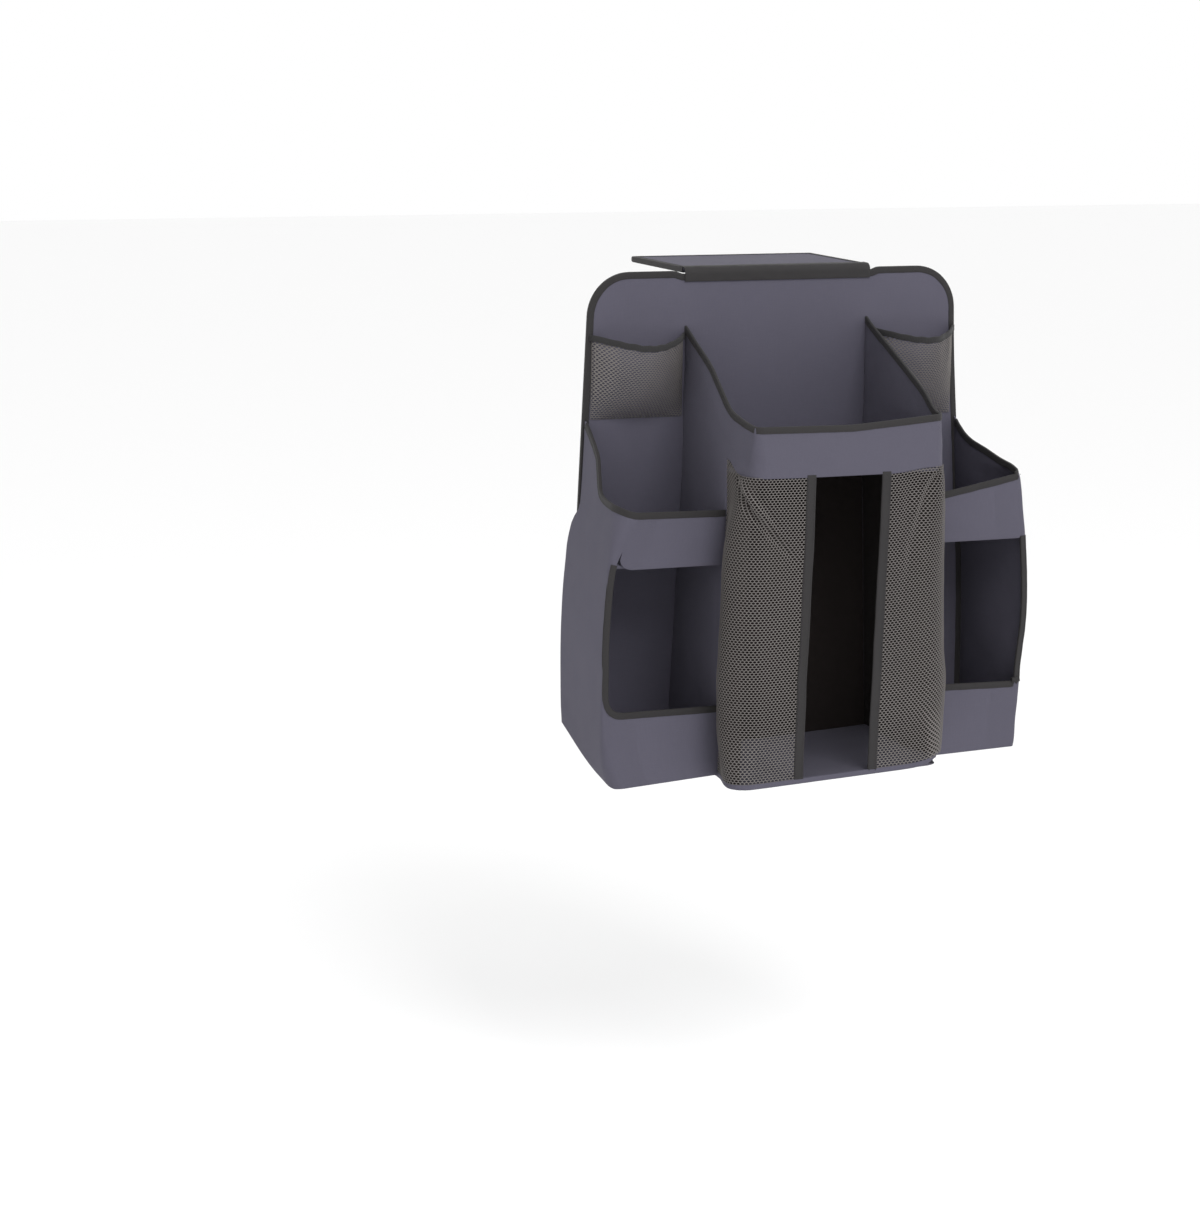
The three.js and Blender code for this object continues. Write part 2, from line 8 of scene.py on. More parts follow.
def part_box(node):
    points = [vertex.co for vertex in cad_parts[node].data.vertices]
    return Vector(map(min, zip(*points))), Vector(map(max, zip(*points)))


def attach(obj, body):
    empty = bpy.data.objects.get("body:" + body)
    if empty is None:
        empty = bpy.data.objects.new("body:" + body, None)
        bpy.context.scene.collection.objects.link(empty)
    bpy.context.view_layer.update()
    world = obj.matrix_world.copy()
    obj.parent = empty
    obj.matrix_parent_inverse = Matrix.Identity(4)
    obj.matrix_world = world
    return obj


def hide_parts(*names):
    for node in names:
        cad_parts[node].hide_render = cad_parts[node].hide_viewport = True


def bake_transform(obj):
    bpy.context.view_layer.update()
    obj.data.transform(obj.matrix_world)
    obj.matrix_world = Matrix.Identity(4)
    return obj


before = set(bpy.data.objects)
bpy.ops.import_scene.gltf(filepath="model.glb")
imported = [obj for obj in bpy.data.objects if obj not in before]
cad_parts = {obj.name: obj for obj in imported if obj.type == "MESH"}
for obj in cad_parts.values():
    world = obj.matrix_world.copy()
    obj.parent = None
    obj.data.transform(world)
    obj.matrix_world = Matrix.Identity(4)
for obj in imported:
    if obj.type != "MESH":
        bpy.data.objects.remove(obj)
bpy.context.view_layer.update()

MM = 0.001


def each(left, right):
    return {"left": left, "right": right}


SIDES = each(-1, 1)
RIGHT, BACK, UP = (Vector(row) for row in ((1, 0, 0), (0, 1, 0), (0, 0, 1)))

# The camera, as the photograph was taken
PHOTO_HEIGHT = 1221
FOCAL_PIXELS = 3246.9
EYE = (-1.5897, -3.3240, 0.3132)
YAW, PITCH, ROLL = 22.544, 10.877, 0.789
SENSOR_WIDTH = 36
FLOOR_LEVEL = -0.96

# Cloth and trims
CLOTH = 2.0
THIN_CLOTH = 1.0
LINING = 0.8
ROOM = 0.5  # between a cloth's edge and the cloth beside it
TAPE, TAPE_WIDTH, TAPE_STAND = 0.7, 7.5, 0.6
EDGE_INSET = 1.1  # of a cloth's edge inside the fold of its tape
MERGE = 0.01 * MM  # vertices this close together become one
SHARP = 0.8  # radians between two stretches of a tape that meet in a corner
NET_PITCH, NET_ROW, NET_BAR, NET_THREAD = 4.45, 2.75, 0.76, 0.3
NET_HOLE = 1.9  # the largest half width of a hole, which rounds it
STITCH_LENGTH, STITCH_PITCH, STITCH_RADIUS, STITCH_INSET = 2.6, 3.7, 0.28, 1.6

# Back panel
PANEL_TOP_HALF, SHOULDER = 232, -50  # half its width, and the height where that is measured
PANEL_FLARE = 0.04  # what that half gains for each millimetre below
PANEL_CORNER, EAR_TOP, FOLD_TOP = 50, 3, -0.3
PANEL_NARROW = each(0, 5)  # of the edge inside the drawn one, high on the panel
FLAP_HALF, EAR_SLOPE, FLAP_LENGTH = 116, 12, 150
PANEL_FACE, PANEL_REAR, PANEL_LAYERS = 5.6, 1.0, 4.6  # its faces, out, and what is between them
PANEL_LOW = -504

# Shelf and stacker
SHELF_HALF, SHELF_DEPTH, SHELF_BOTTOM = 114, 200, -205.5
SHELF_TOP = -150  # where its side walls stop leaning aside
SHELF_SIDE = each(  # how far aside the shelf's front corner is, by height
    [(-206, 118), (SHELF_TOP, 114)], [(-206, 120.5), (-181, 117.3), (SHELF_TOP, 113)]
)
SHELF_EDGE = each(  # out and height along the top edge of each side wall
    [
        (6, -59), (31, -72), (76, -95), (103, -116), (131, -137), (157, -144), (183, -148), (200, -149.3),
    ],
    [(6, -54), (21, -62), (80, -88), (120, -106), (153, -122), (180, -140), (200, -143)],
)
SHELF_MIDDLE = -150.6  # the height of the lip there
SHELF_CORNER = -152  # the height above which the corner keeps its radius
SHELF_RADIUS = each((6, 22), (9, 14))  # of the corner at the lip and at the bottom
SHELF_SIDE_RISE = 15  # of the side walls' bottom edge, from the front to the divider
SHELF_CORNER_RISE = each(0.5, 5)  # of the front's bottom edge at its corner
STACKER_LOW, STACKER_FLARE, BASE_HEIGHT = -550, 0.041, 6.2
STACKER_HALF = 128  # at the floor, for its tilt
NET_HEIGHT = 340
STACKER_FRONT = each(  # how far aside the net's front corner is, by height
    [(-550, 130), (-520, 134), (-480, 136), (-400, 136), (-300, 133), (-250, 127), (-206, 118)],
    [
        (-550, 125), (-515, 135), (-487, 139), (-446, 140), (-411, 137.5), (-307, 133.5), (-269, 130),
        (-206, 120.5),
    ],
)
STACKER_RADIUS, STACKER_LOW_RADIUS = 36, 20  # of that corner at half height and at the floor
STACKER_MIDDLE = each(  # how far aside the divider's front edge is, by height
    [(-550, 119.7), (-477, 118), (-400, 116), (-206, 116)],
    [(-550, 121), (-477, 119.5), (-400, 118), (-206, 117.5)],
)
STACKER_CORNER_RISE = each(0.5, 7)  # of the bottom edge where it turns the corner
STACKER_TILT = each(0.5, 12)  # of the floor, up from its drawn level
FLOOR_THICKNESS, FLOOR_BOARD = 5.2, 2.8
FRONT_SEAM = 0.6  # of a floor's front inside the cloth that it is sewn to
DIVIDER_DEPTH = 127.7
OPENING_TAPE = 11
OPENING_MIDDLE = each((47, 53.5), (44.5, 37))  # of a tape, aside at its top and bottom

# Pockets and cubbies
CUBBY_DEPTH = 130
FRONT_START, FRONT_WIDTH = 118, 130  # of a compartment's front, aside
POCKET_LOW = each(-308.9, -298.6)  # of the band under each pocket
POCKET_EDGE = each(  # out and height along the pocket's top edge on the flank
    [
        (0, -157), (15, -166), (38, -181), (57, -197), (63, -213), (69, -230),
        (86, -237), (106, -239.6), (118, -241.5), (127, -245.3), (130, -247.3),
    ],
    [(0, -165), (16, -180), (36, -194), (66, -203.5), (90, -211.5), (116, -217), (130, -222.5)],
)
# Heights on the front, at the outer corner and at the divider
POCKET_LIP = each((-247.3, -249), (-224.8, -248.2))
LIP_TOP = each((-468.2, -468.2), (-466, -463))
FRONT_LOW = each((-554, -546), (-542.8, -546.5))
SIDE_RADIUS = each(  # of the outer wall's front corner, by height
    [(-550, 16), (-510, 8), (-480, 4), (-309, 4), (-250, 24)],
    [(-550, 5), (-480, 4), (-300, 4), (-225, 6)],
)
POST = 0.977  # the place on the front where the cubby's mouth ends
MOUTH_CORNER = each((17, 21), (4, 3))  # of the cubby's mouth, low and high
MOUTH_TAPE_TOP = each(-303, -296)
FRONT_GIVE = each(  # how far the front edge of each outer wall stands aside of the drawn one, by height
    [
        (-550, -7), (-536, -1), (-510, 4.5), (-476, 8.5), (-440, 9.6), (-393, 10), (-361, 9.5),
        (-309, 9.2), (-280, 5), (-250, 0.3),
    ],
    [
        (-550, 0.5), (-536, 4.3), (-504, 6.6), (-475, 9), (-450, 10.8), (-424, 14.7), (-400, 18.2),
        (-370, 20.4), (-340, 20.6), (-315, 19.6), (-273, 16.8), (-249, 14.7), (-230, 12.3), (-221, 9.6),
    ],
)
REAR_GIVE = each(  # the same for the rear edge
    [
        (-550, 0), (-504, 2.6), (-483, 4.7), (-450, 6.8), (-417, 8.5), (-384, 9.3), (-347, 9.1),
        (-314, 7.5), (-298, 6.7), (-282, 4), (-266, 0.4), (-255, -3.5), (-160, -4.5),
    ],
    [(-550, 0), (-480, 2), (-380, 4), (-300, 2), (-265, -5), (-160, -7.5)],
)

# Net pockets
NET_INNER, NET_OUTER = 116.7, each(227.5, 224)  # how far aside each starts and ends
NET_MOUTH, NET_LOW = -68, each(-160, -168)
NET_BULGE, ELASTIC = 45, 7


def ease(t):
    t = min(1.0, max(0.0, t))
    return t * t * (3 - 2 * t)


def between(a, b, t):
    return a + (b - a) * t


def smooth_line(points, x):
    """The height at x of a smooth curve through the points."""
    if x <= points[0][0]:
        return points[0][1]
    for i, ((x0, y0), (x1, y1)) in enumerate(zip(points, points[1:])):
        if x <= x1:
            before = points[max(0, i - 1)]
            after = points[min(len(points) - 1, i + 2)]
            rise0 = (y1 - before[1]) / (x1 - before[0]) * (x1 - x0)
            rise1 = (after[1] - y0) / (after[0] - x0) * (x1 - x0)
            t = (x - x0) / (x1 - x0)
            start = (2 * t**3 - 3 * t**2 + 1) * y0 + (t**3 - 2 * t**2 + t) * rise0
            return start + (3 * t**2 - 2 * t**3) * y1 + (t**3 - t**2) * rise1
    return points[-1][1]


def grain(x, y, z):
    return noise.noise(Vector((x, y, z)))


def hump(distance, width):
    """1 at no distance, and falling away smoothly on both sides."""
    return exp(-((distance / width) ** 2))


def unevenness(point, size):
    """Soft waves of cloth, about -1 to 1, the same wherever two pieces meet."""
    return noise.noise(point / size) + 0.35 * noise.noise(point / size * 2.8 + Vector((7.3, 1.9, 4.4)))


def pucker(distance, run):
    """Short ripples that a row of stitches draws into the cloth beside it."""
    return 0.4 * exp(-max(0.0, distance) / 9) * grain(run / 5.5, 0.0, distance / 30)


# Shader nodes
SHADES = 0.6, 1.4


class Number:
    """A number that a shader works out. Python's operators add its Math nodes."""

    def __init__(self, shader, socket):
        self.shader, self.socket = shader, socket

    def math(self, operation, *values):
        made = self.shader.node("Math", {"operation": operation}, dict(enumerate(values)))
        return Number(self.shader, made.outputs[0])

    def __add__(self, other):
        return self.math("ADD", self, other)

    def __sub__(self, other):
        return self.math("SUBTRACT", self, other)

    def __rsub__(self, other):
        return self.math("SUBTRACT", other, self)

    def __mul__(self, other):
        return self.math("MULTIPLY", self, other)

    __radd__, __rmul__ = __add__, __mul__

    def sine(self):
        return self.math("SINE", self)

    def size(self):
        return self.math("ABSOLUTE", self)

    def clamped(self):
        return self.math("MINIMUM", self.math("MAXIMUM", self, 0.0), 1.0)


class Shader:
    """One material and its nodes."""

    def __init__(self, name):
        self.material = bpy.data.materials.new(name)
        self.material.use_nodes = True
        self.tree = self.material.node_tree
        self.surface = self.tree.nodes["Principled BSDF"]

    def node(self, kind, settings=None, inputs=None):
        made = self.tree.nodes.new("ShaderNode" + kind)
        for name, value in (settings or {}).items():
            setattr(made, name, value)
        self.fill(made, inputs or {})
        return made

    def fill(self, node, inputs):
        for key, value in inputs.items():
            if isinstance(value, Number):
                value = value.socket
            if isinstance(value, bpy.types.NodeSocket):
                self.tree.links.new(value, node.inputs[key])
            else:
                node.inputs[key].default_value = value

    def on_cloth(self):
        return self.node("UVMap", {"uv_map": "cloth"}).outputs[0]

    def along_and_across(self):
        """Metres along and across the piece's own cloth."""
        parts = self.node("SeparateXYZ", None, {0: self.on_cloth()})
        return Number(self, parts.outputs[0]), Number(self, parts.outputs[1])

    def cloud(self, scale, detail=2.0, stretch=None):
        """Noise from 0 to 1 in the object's metres, or in the cloth's where a thread draws it out."""
        if stretch:
            inputs = {"Vector": self.on_cloth(), "Scale": stretch}
            place = self.node("Mapping", None, inputs).outputs[0]
        else:
            place = self.node("TexCoord").outputs["Object"]
        inputs = {"Vector": place, "Scale": scale, "Detail": detail}
        return Number(self, self.node("TexNoise", None, inputs).outputs[0])

    def tone(self, colour, shade):
        """The colour times a shade that lies between the two in SHADES."""
        low, high = SHADES
        share = self.node("MapRange", None, {"Value": shade, "From Min": low, "From Max": high})
        dark, light = ((*(c * level for c in colour), 1) for level in SHADES)
        inputs = {0: share.outputs[0], 6: dark, 7: light}
        return self.node("Mix", {"data_type": "RGBA"}, inputs).outputs[2]

    def bump(self, height, depth):
        return self.node("Bump", None, {"Height": height, "Distance": depth}).outputs[0]

    def done(self, colour, shade, height, depth, **inputs):
        """Ends the material: its colour times a shade, raised by a height times a depth in metres."""
        inputs |= {"Base Color": self.tone(colour, shade), "Normal": self.bump(height, depth)}
        self.fill(self.surface, {name.replace("_", " "): value for name, value in inputs.items()})
        return self.material


def srgb(*seen):
    """A colour as it is seen, 0 to 255, turned into the share of light that a shader takes."""
    return tuple(((c / 255 + 0.055) / 1.055) ** 2.4 for c in seen)


def ribs(number, pitch):
    """A sine with half a wave in each pitch, which is in millimetres."""
    return (number * (pi / (pitch * MM))).sine()


def woven(name, colour, thread_pitch, depth):
    """Plain-woven cloth: warp and weft pass over each other by turns."""
    shader = Shader(name)
    along, across = shader.along_and_across()
    warp, weft = ribs(along, thread_pitch), ribs(across, thread_pitch)
    over = (warp * weft * 2.5 + 0.5).clamped()
    height = warp.size() * over + weft.size() * (1 - over)
    streaks = shader.cloud(1.0, 1.0, (60, 1300, 1)) + shader.cloud(1.0, 1.0, (1300, 60, 1))
    shade = 0.8 + streaks * 0.1 + shader.cloud(9.0) * 0.12 + height * 0.06
    height += shader.cloud(240.0) * 0.6
    looks = {"Sheen_Weight": 0.04, "Sheen_Roughness": 0.5, "Specular_IOR_Level": 0.12}
    return shader.done(colour, shade, height, depth, Roughness=0.86 - 0.12 * shader.cloud(35.0), **looks)


def ribbed(name, colour, rib, row, depth, roughness):
    """Tape, elastic or webbing: ribs across its length and finer rows along it."""
    shader = Shader(name)
    along, across = shader.along_and_across()
    rib_height = ribs(along, rib).size()
    height = rib_height * (0.7 + 0.3 * ribs(across, row).size())
    shade = 0.78 + height * 0.2 + shader.cloud(24.0) * 0.16
    looks = {"Sheen_Weight": 0.05, "Specular_IOR_Level": 0.35}
    return shader.done(colour, shade, height, depth, Roughness=roughness - 0.12 * height, **looks)


def fibrous(name, colour, scale, depth, roughness=0.85):
    """Yarn, pile or matt plastic, which shows only a grain."""
    shader = Shader(name)
    pile = shader.cloud(scale, 3.0)
    looks = {"Roughness": roughness - 0.15 * pile, "Specular_IOR_Level": 0.3}
    return shader.done(colour, 0.72 + pile * 0.56, pile, depth, **looks)


FINISHES = {  # by slot, apart from the thread, which is sewn into other pieces
    "grey_cloth": (woven, (83, 81, 93), 0.62, 0.0001),
    "black_cloth": (woven, (34, 29, 28), 0.5, 0.0001),
    "black_tape": (ribbed, (36, 34, 35), 1.15, 0.7, 0.0002, 0.8),
    "elastic": (ribbed, (36, 35, 36), 1.7, 0.9, 0.0003, 0.82),
    "webbing": (ribbed, (34, 33, 35), 1.9, 1.1, 0.0004, 0.75),
    "thread": (fibrous, (48, 46, 48), 1700.0, 0.00008),
    "net": (fibrous, (104, 100, 98), 1500.0, 0.00008),
    "hook_and_loop": (fibrous, (34, 34, 36), 800.0, 0.0006),
    "board": (fibrous, (222, 222, 217), 130.0, 0.00002, 0.6),
}
materials = {name: make(name, srgb(*seen), *values) for name, (make, seen, *values) in FINISHES.items()}


# Laying and finishing meshes
def lay(mesh, columns, rows, place, cloth_size, keep=None):
    """Adds a grid with corner i, j where place(i, j) says, and gives each vertex its i and j. Cells that
    keep refuses are cut out. Columns to the right and rows upwards make a face that looks forwards."""
    made = bmesh.ops.create_grid(mesh, x_segments=columns, y_segments=rows, size=0.5)["verts"]
    index = {v: (round((v.co.x + 0.5) * columns), round((v.co.y + 0.5) * rows)) for v in made}
    layer = mesh.loops.layers.uv.get("cloth") or mesh.loops.layers.uv.new("cloth")
    faces = {face for v in made for face in v.link_faces}
    for face in faces:
        for loop in face.loops:
            i, j = index[loop.vert]
            loop[layer].uv = (i / columns * cloth_size[0] * MM, j / rows * cloth_size[1] * MM)
    for v, (i, j) in index.items():
        v.co = place(i, j) * MM
    if keep:
        corners = {face: [min(index[v][k] for v in face.verts) for k in (0, 1)] for face in faces}
        unwanted = [face for face, corner in corners.items() if not keep(*corner)]
        bmesh.ops.delete(mesh, geom=unwanted, context="FACES")
    return {v: at for v, at in index.items() if v.is_valid}


def thickened(mesh, thickness, round_edges=True):
    """Gives an open skin a thickness behind it and rounds the rims."""
    mesh.normal_update()
    bmesh.ops.solidify(mesh, geom=mesh.faces[:], thickness=thickness * MM)
    bmesh.ops.recalc_face_normals(mesh, faces=mesh.faces)
    if round_edges:
        rims = [e for e in mesh.edges if len(e.link_faces) == 2 and e.calc_face_angle() > radians(60)]
        size = 0.28 * thickness * MM
        soft = {"segments": 2, "profile": 0.5, "affect": "EDGES", "material": -1, "clamp_overlap": True}
        bmesh.ops.bevel(mesh, geom=rims, offset=size, **soft)


def grid_of(columns, rows, place, cloth_size, thickness, keep=None):
    """A mesh of one grid, for a cloth or a board."""
    mesh = bmesh.new()
    lay(mesh, columns, rows, place, cloth_size, keep)
    thickened(mesh, thickness)
    return mesh


def mesh_data(name, mesh):
    data = bpy.data.meshes.new(name)
    mesh.to_mesh(data)
    mesh.free()
    return data


def added(name, data):
    made = bpy.data.objects.new(name, data)
    bpy.context.scene.collection.objects.link(made)
    return made


def piece(name, mesh, slot, stands_for=(), body="organizer", also=()):
    """Makes the mesh a smooth-shaded piece of the slot's material, and others, that rides on a body."""
    data = mesh_data(name, mesh)
    data.shade_smooth()
    for material in (slot, *also):
        data.materials.append(materials[material])
    made = added(name, data)
    if body:
        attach(made, body)
    if stands_for:
        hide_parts(*stands_for)
    return made


def sleeve(name, columns, around, place, size, stands_for, body="organizer"):
    """Thin cloth folded round a board and closed at both ends."""
    mesh = bmesh.new()
    lay(mesh, columns, around, place, size)
    bmesh.ops.remove_doubles(mesh, verts=mesh.verts, dist=MERGE)
    bmesh.ops.edgenet_fill(mesh, edges=[e for e in mesh.edges if e.is_boundary])
    bmesh.ops.recalc_face_normals(mesh, faces=mesh.faces)
    thickened(mesh, THIN_CLOTH)
    return piece(name, mesh, "grey_cloth", stands_for, body)


def steps(*zones):
    """The number of cells in all, and a function from a corner's number to a value. A zone is its cells,
    start and end."""

    def value(i):
        for cells, start, end in zones:
            if i <= cells:
                return between(start, end, i / cells)
            i -= cells
        return zones[-1][2]

    return sum(zone[0] for zone in zones), value


def steps_of(side, *zones):
    """Steps along one side of a wall, given from its front on, in the order that runs to the right."""
    if side == "left":
        zones = [(count, end, start) for count, start, end in reversed(zones)]
    return steps(*zones)


class Wall:
    """A wall seen from above. On each side it runs aside along its front, round a soft corner and back to
    the panel. A place on it is 0 to 1 on the front, 1 to 2 on the corner and 2 to 3 on the flank."""

    def __init__(self, depth, back, inner, outer, radius, rear=None):
        self.depth, self.back = depth, back
        self.inner, self.outer, self.radius = inner, outer, radius
        self.rear = rear or outer

    def at(self, side, place, z, behind=0.0):
        """The point there, and the way that the wall faces."""
        radius, outer = self.radius(side, z), self.outer(side, z)
        angle = min(1.0, max(0.0, place - 1)) * pi / 2
        aside = outer - radius + radius * sin(angle)
        out = self.depth - radius + radius * cos(angle)
        if place < 1:
            aside = between(self.inner(side, z), aside, place)
        if place > 2:
            aside = between(outer, self.rear(side, z), ease(place - 2))
            out = between(out, self.back(side, z), place - 2)
        facing = Vector((SIDES[side] * sin(angle), -cos(angle), 0))
        return Vector((SIDES[side] * aside, -out, z)) - facing * behind, facing

    def lengths(self, side, z):
        """Of half the corner, the front and the flank."""
        radius = self.radius(side, z)
        front = self.outer(side, z) - radius - self.inner(side, z)
        return radius * pi / 4, front, self.depth - radius - self.back(side, z)

    def run(self, side, place, z):
        """How far the place is from the corner's middle: less than 0 on the front, more on the flank."""
        bend, front, flank = self.lengths(side, z)
        if place < 1:
            return -bend - (1 - place) * front
        if place > 2:
            return bend + (place - 2) * flank
        return (place - 1.5) * 2 * bend

    def place_at(self, side, run, z):
        """The place that is this far from the corner's middle."""
        bend, front, flank = self.lengths(side, z)
        if run < -bend:
            return 1 + (run + bend) / front
        if run > bend:
            return 2 + (run - bend) / flank
        return 1.5 + run / (2 * bend)

    def reach(self, side, out, z, inside):
        """How far aside the wall's inner face is, at this distance out."""
        radius = self.radius(side, z)
        if out > self.depth - radius:
            within = radius - inside
            deep = min(within, out - (self.depth - radius))
            return self.outer(side, z) - radius + sqrt(within**2 - deep**2)
        share = (self.depth - radius - out) / (self.depth - radius - self.back(side, z))
        return between(self.outer(side, z), self.rear(side, z), ease(share)) - inside


def even(route, step=4.0):
    """The places of a route and the ways that the cloth faces there, at even steps and at sharp corners."""
    spaced, left = [route[0]], 0.0

    def finish_at(spot):
        if len(spaced) > 1 and (spot[0] - spaced[-1][0]).length < step / 2:
            spaced.pop()
        spaced.append(spot)

    last = None
    for (a, way_a), (b, way_b) in zip(route, route[1:]):
        length = (b - a).length
        if last and last.angle(b - a) > SHARP:
            finish_at((a, way_a))
            left = 0.0
        last = b - a
        while left + step <= length:
            left += step
            t = left / length
            spaced.append((a.lerp(b, t), way_a.lerp(way_b, t).normalized()))
        left -= length
    finish_at(route[-1])
    return spaced


def tape(name, route, cover, slot="black_tape", body="organizer", stands_for=(), width=TAPE_WIDTH):
    """Binding folded over the edge of a cloth or of several layers, sewn through. The route follows that
    edge, to the right along a top edge, with the way that the cloth faces."""
    route = even(route)
    half = cover / 2 + TAPE_STAND
    leg = width - EDGE_INSET
    girth = 2 * leg + pi * half
    around = 14
    runs = [0.0]
    for (a, _), (b, _) in zip(route, route[1:]):
        runs.append(runs[-1] + (b - a).length)

    def axes(j):
        before, after = route[max(j - 1, 0)][0], route[min(j + 1, len(route) - 1)][0]
        along = (after - before).normalized()
        facing = route[j][1]
        return along, facing, facing.cross(along).normalized()

    def place(i, j):
        _, facing, away = axes(i)
        s = j / around * girth
        wobble = 0.35 * grain(runs[i] / 16, 3.1, cover)
        if s < leg:
            across, deep = s - leg + wobble, half
        elif s > girth - leg:
            across, deep = girth - leg - s + wobble, -half
        else:
            angle = (s - leg) / half
            across, deep = EDGE_INSET * sin(angle), half * cos(angle)
        swell = 0.18 * grain(runs[i] / 4.5, s / 6, cover + len(route))
        return route[i][0] + facing * (deep + copysign(swell, deep)) + away * across

    mesh = grid_of(len(route) - 1, around, place, (runs[-1], girth), TAPE)
    j = 0
    for k in range(int(runs[-1] / STITCH_PITCH)):
        run = (k + 0.5) * STITCH_PITCH
        while j < len(route) - 2 and runs[j + 1] < run:
            j += 1
        along, facing, away = axes(j)
        spot = route[j][0].lerp(route[j + 1][0], (run - runs[j]) / (runs[j + 1] - runs[j]))
        for face in (1, -1):
            centre = spot + facing * face * (half + 0.1) + away * (STITCH_INSET - leg)
            stitch(mesh, centre, along, away, facing)
    return piece(name, mesh, slot, stands_for, body, ("thread",))


def one_stitch():
    """A single stitch along X, which takes the second material of the piece that it is sewn on."""
    mesh = bmesh.new()
    size = Matrix.Diagonal((STITCH_LENGTH / 2 * MM, STITCH_RADIUS * MM, STITCH_RADIUS * MM, 1))
    bmesh.ops.create_uvsphere(mesh, u_segments=6, v_segments=4, radius=1, matrix=size)
    for face in mesh.faces:
        face.material_index = 1
    return mesh_data("stitch", mesh)


stitch_shape = one_stitch()


def stitch(mesh, centre, along, across, facing):
    turn = Matrix((along, across, facing)).transposed().to_4x4()
    matrix = Matrix.Translation(centre * MM) @ turn
    stitch_shape.transform(matrix)
    mesh.from_mesh(stitch_shape)
    stitch_shape.transform(matrix.inverted())


def bars_of_net(columns, rows, place, cloth_size):
    """A grid whose cells are joined by twos into hexagons, which are then opened in the middle."""
    mesh = bmesh.new()
    index = lay(mesh, 2 * columns, rows, lambda i, j: Vector((i, j, 0)), cloth_size)
    extra = []
    for edge in mesh.edges:
        (i, j), (i_other, j_other) = sorted(index[v] for v in edge.verts)
        if i == i_other and 0 < i < 2 * columns and (i + min(j, j_other)) % 2:
            extra.append(edge)
    bmesh.ops.dissolve_edges(mesh, edges=extra, use_verts=False)
    for v in mesh.verts:
        i, j = index[v]
        lift = 0 if j in (0, rows) else (1 / 6 if (i + j) % 2 == 0 else -1 / 6)
        v.co = place(i / 2, j + lift) * MM
    mesh.normal_update()
    holes = mesh.faces[:]
    bmesh.ops.inset_individual(mesh, faces=holes, thickness=NET_BAR / 2 * MM, use_even_offset=True)
    for hole in holes:
        centre = hole.calc_center_median()
        for v in hole.verts:
            reach = (v.co - centre).length
            v.co = centre.lerp(v.co, min(1.0, NET_HOLE * MM / reach))
    bmesh.ops.delete(mesh, geom=holes, context="FACES")
    thickened(mesh, NET_THREAD, round_edges=False)
    return mesh


# Back panel
def panel_half(z):
    return PANEL_TOP_HALF + PANEL_FLARE * (SHOULDER - z)


def panel_edge(side, z):
    """How far aside the panel's edge is. Lower down the outer wall draws it out."""
    drawn = max(0.0, smooth_line(REAR_GIVE[side], z)) * ease((-272 - z) / 30)
    return panel_half(z) + drawn - PANEL_NARROW[side] * ease((260 + z) / 190)


def panel_top(x, inset=0.0):
    """The height of the panel's top edge at x."""
    level = EAR_TOP - PANEL_CORNER
    middle = panel_edge("left" if x < 0 else "right", level) - PANEL_CORNER
    x = abs(x)
    radius = PANEL_CORNER - inset
    if x > middle:
        return level + sqrt(max(0.0, radius**2 - (x - middle) ** 2))
    return between(FOLD_TOP, EAR_TOP, ease((x - FLAP_HALF) / EAR_SLOPE)) - inset


def stacker_half(z):
    return SHELF_HALF + STACKER_FLARE * max(0.0, SHELF_BOTTOM - z)


def panel_layer(name, out, thickness, node, slot, rear=False, stiff=False):
    """The panel's front cloth, its lining or the board between them, with the tongue behind the stacker."""
    tuck = 2.0 if stiff else 0
    inset, low = EDGE_INSET + tuck, PANEL_LOW + 0.2 + tuck
    mesh = bmesh.new()
    middle, flat, turn, rows, tongue_rows = 40, 10, 10, 84, 10
    columns = middle + 2 * (flat + turn)
    top_level = EAR_TOP - PANEL_CORNER
    tongue = (stacker_half(PANEL_LOW) - tuck) / panel_half(PANEL_LOW)
    corner = 1 - (PANEL_CORNER - inset) / (panel_half(top_level) - inset)

    def share(i):
        """From -1 to 1 across the panel, closer together round its top corners."""
        i -= columns / 2
        beyond = abs(i) - middle / 2
        if beyond <= 0:
            return i / middle * 2 * tongue
        if beyond <= flat:
            return copysign(between(tongue, corner, beyond / flat), i)
        return copysign(between(corner, 1, sin((beyond - flat) / turn * pi / 2)), i)

    def across(i, z):
        place = -share(i) if rear else share(i)
        side = "left" if place < 0 else "right"
        return place * (panel_edge(side, min(z, top_level)) - inset)

    def laid(x, z):
        if stiff:
            return Vector((x, -out, z))
        edge = min(panel_half(z) - abs(x), panel_top(x) - z)
        lift = 0.3 * ease(edge / 40) * (1 + unevenness(Vector((x, -out, z)), 85))
        lift += pucker(edge - TAPE_WIDTH, x + z)
        return Vector((x, -out - lift * (-1 if rear else 1), z))

    def body(i, j):
        z = between(low, panel_top(across(i, top_level), inset), j / rows)
        return laid(across(i, z), z)

    def tail(i, j):
        z = between(STACKER_LOW + inset, low, j / tongue_rows)
        return laid(across(i + flat + turn, low), z)

    lay(mesh, columns, rows, body, (498, 506))
    lay(mesh, middle, tongue_rows, tail, (252, 45))
    bmesh.ops.remove_doubles(mesh, verts=mesh.verts, dist=MERGE)
    thickened(mesh, thickness)
    made = piece(name, mesh, slot, [node])


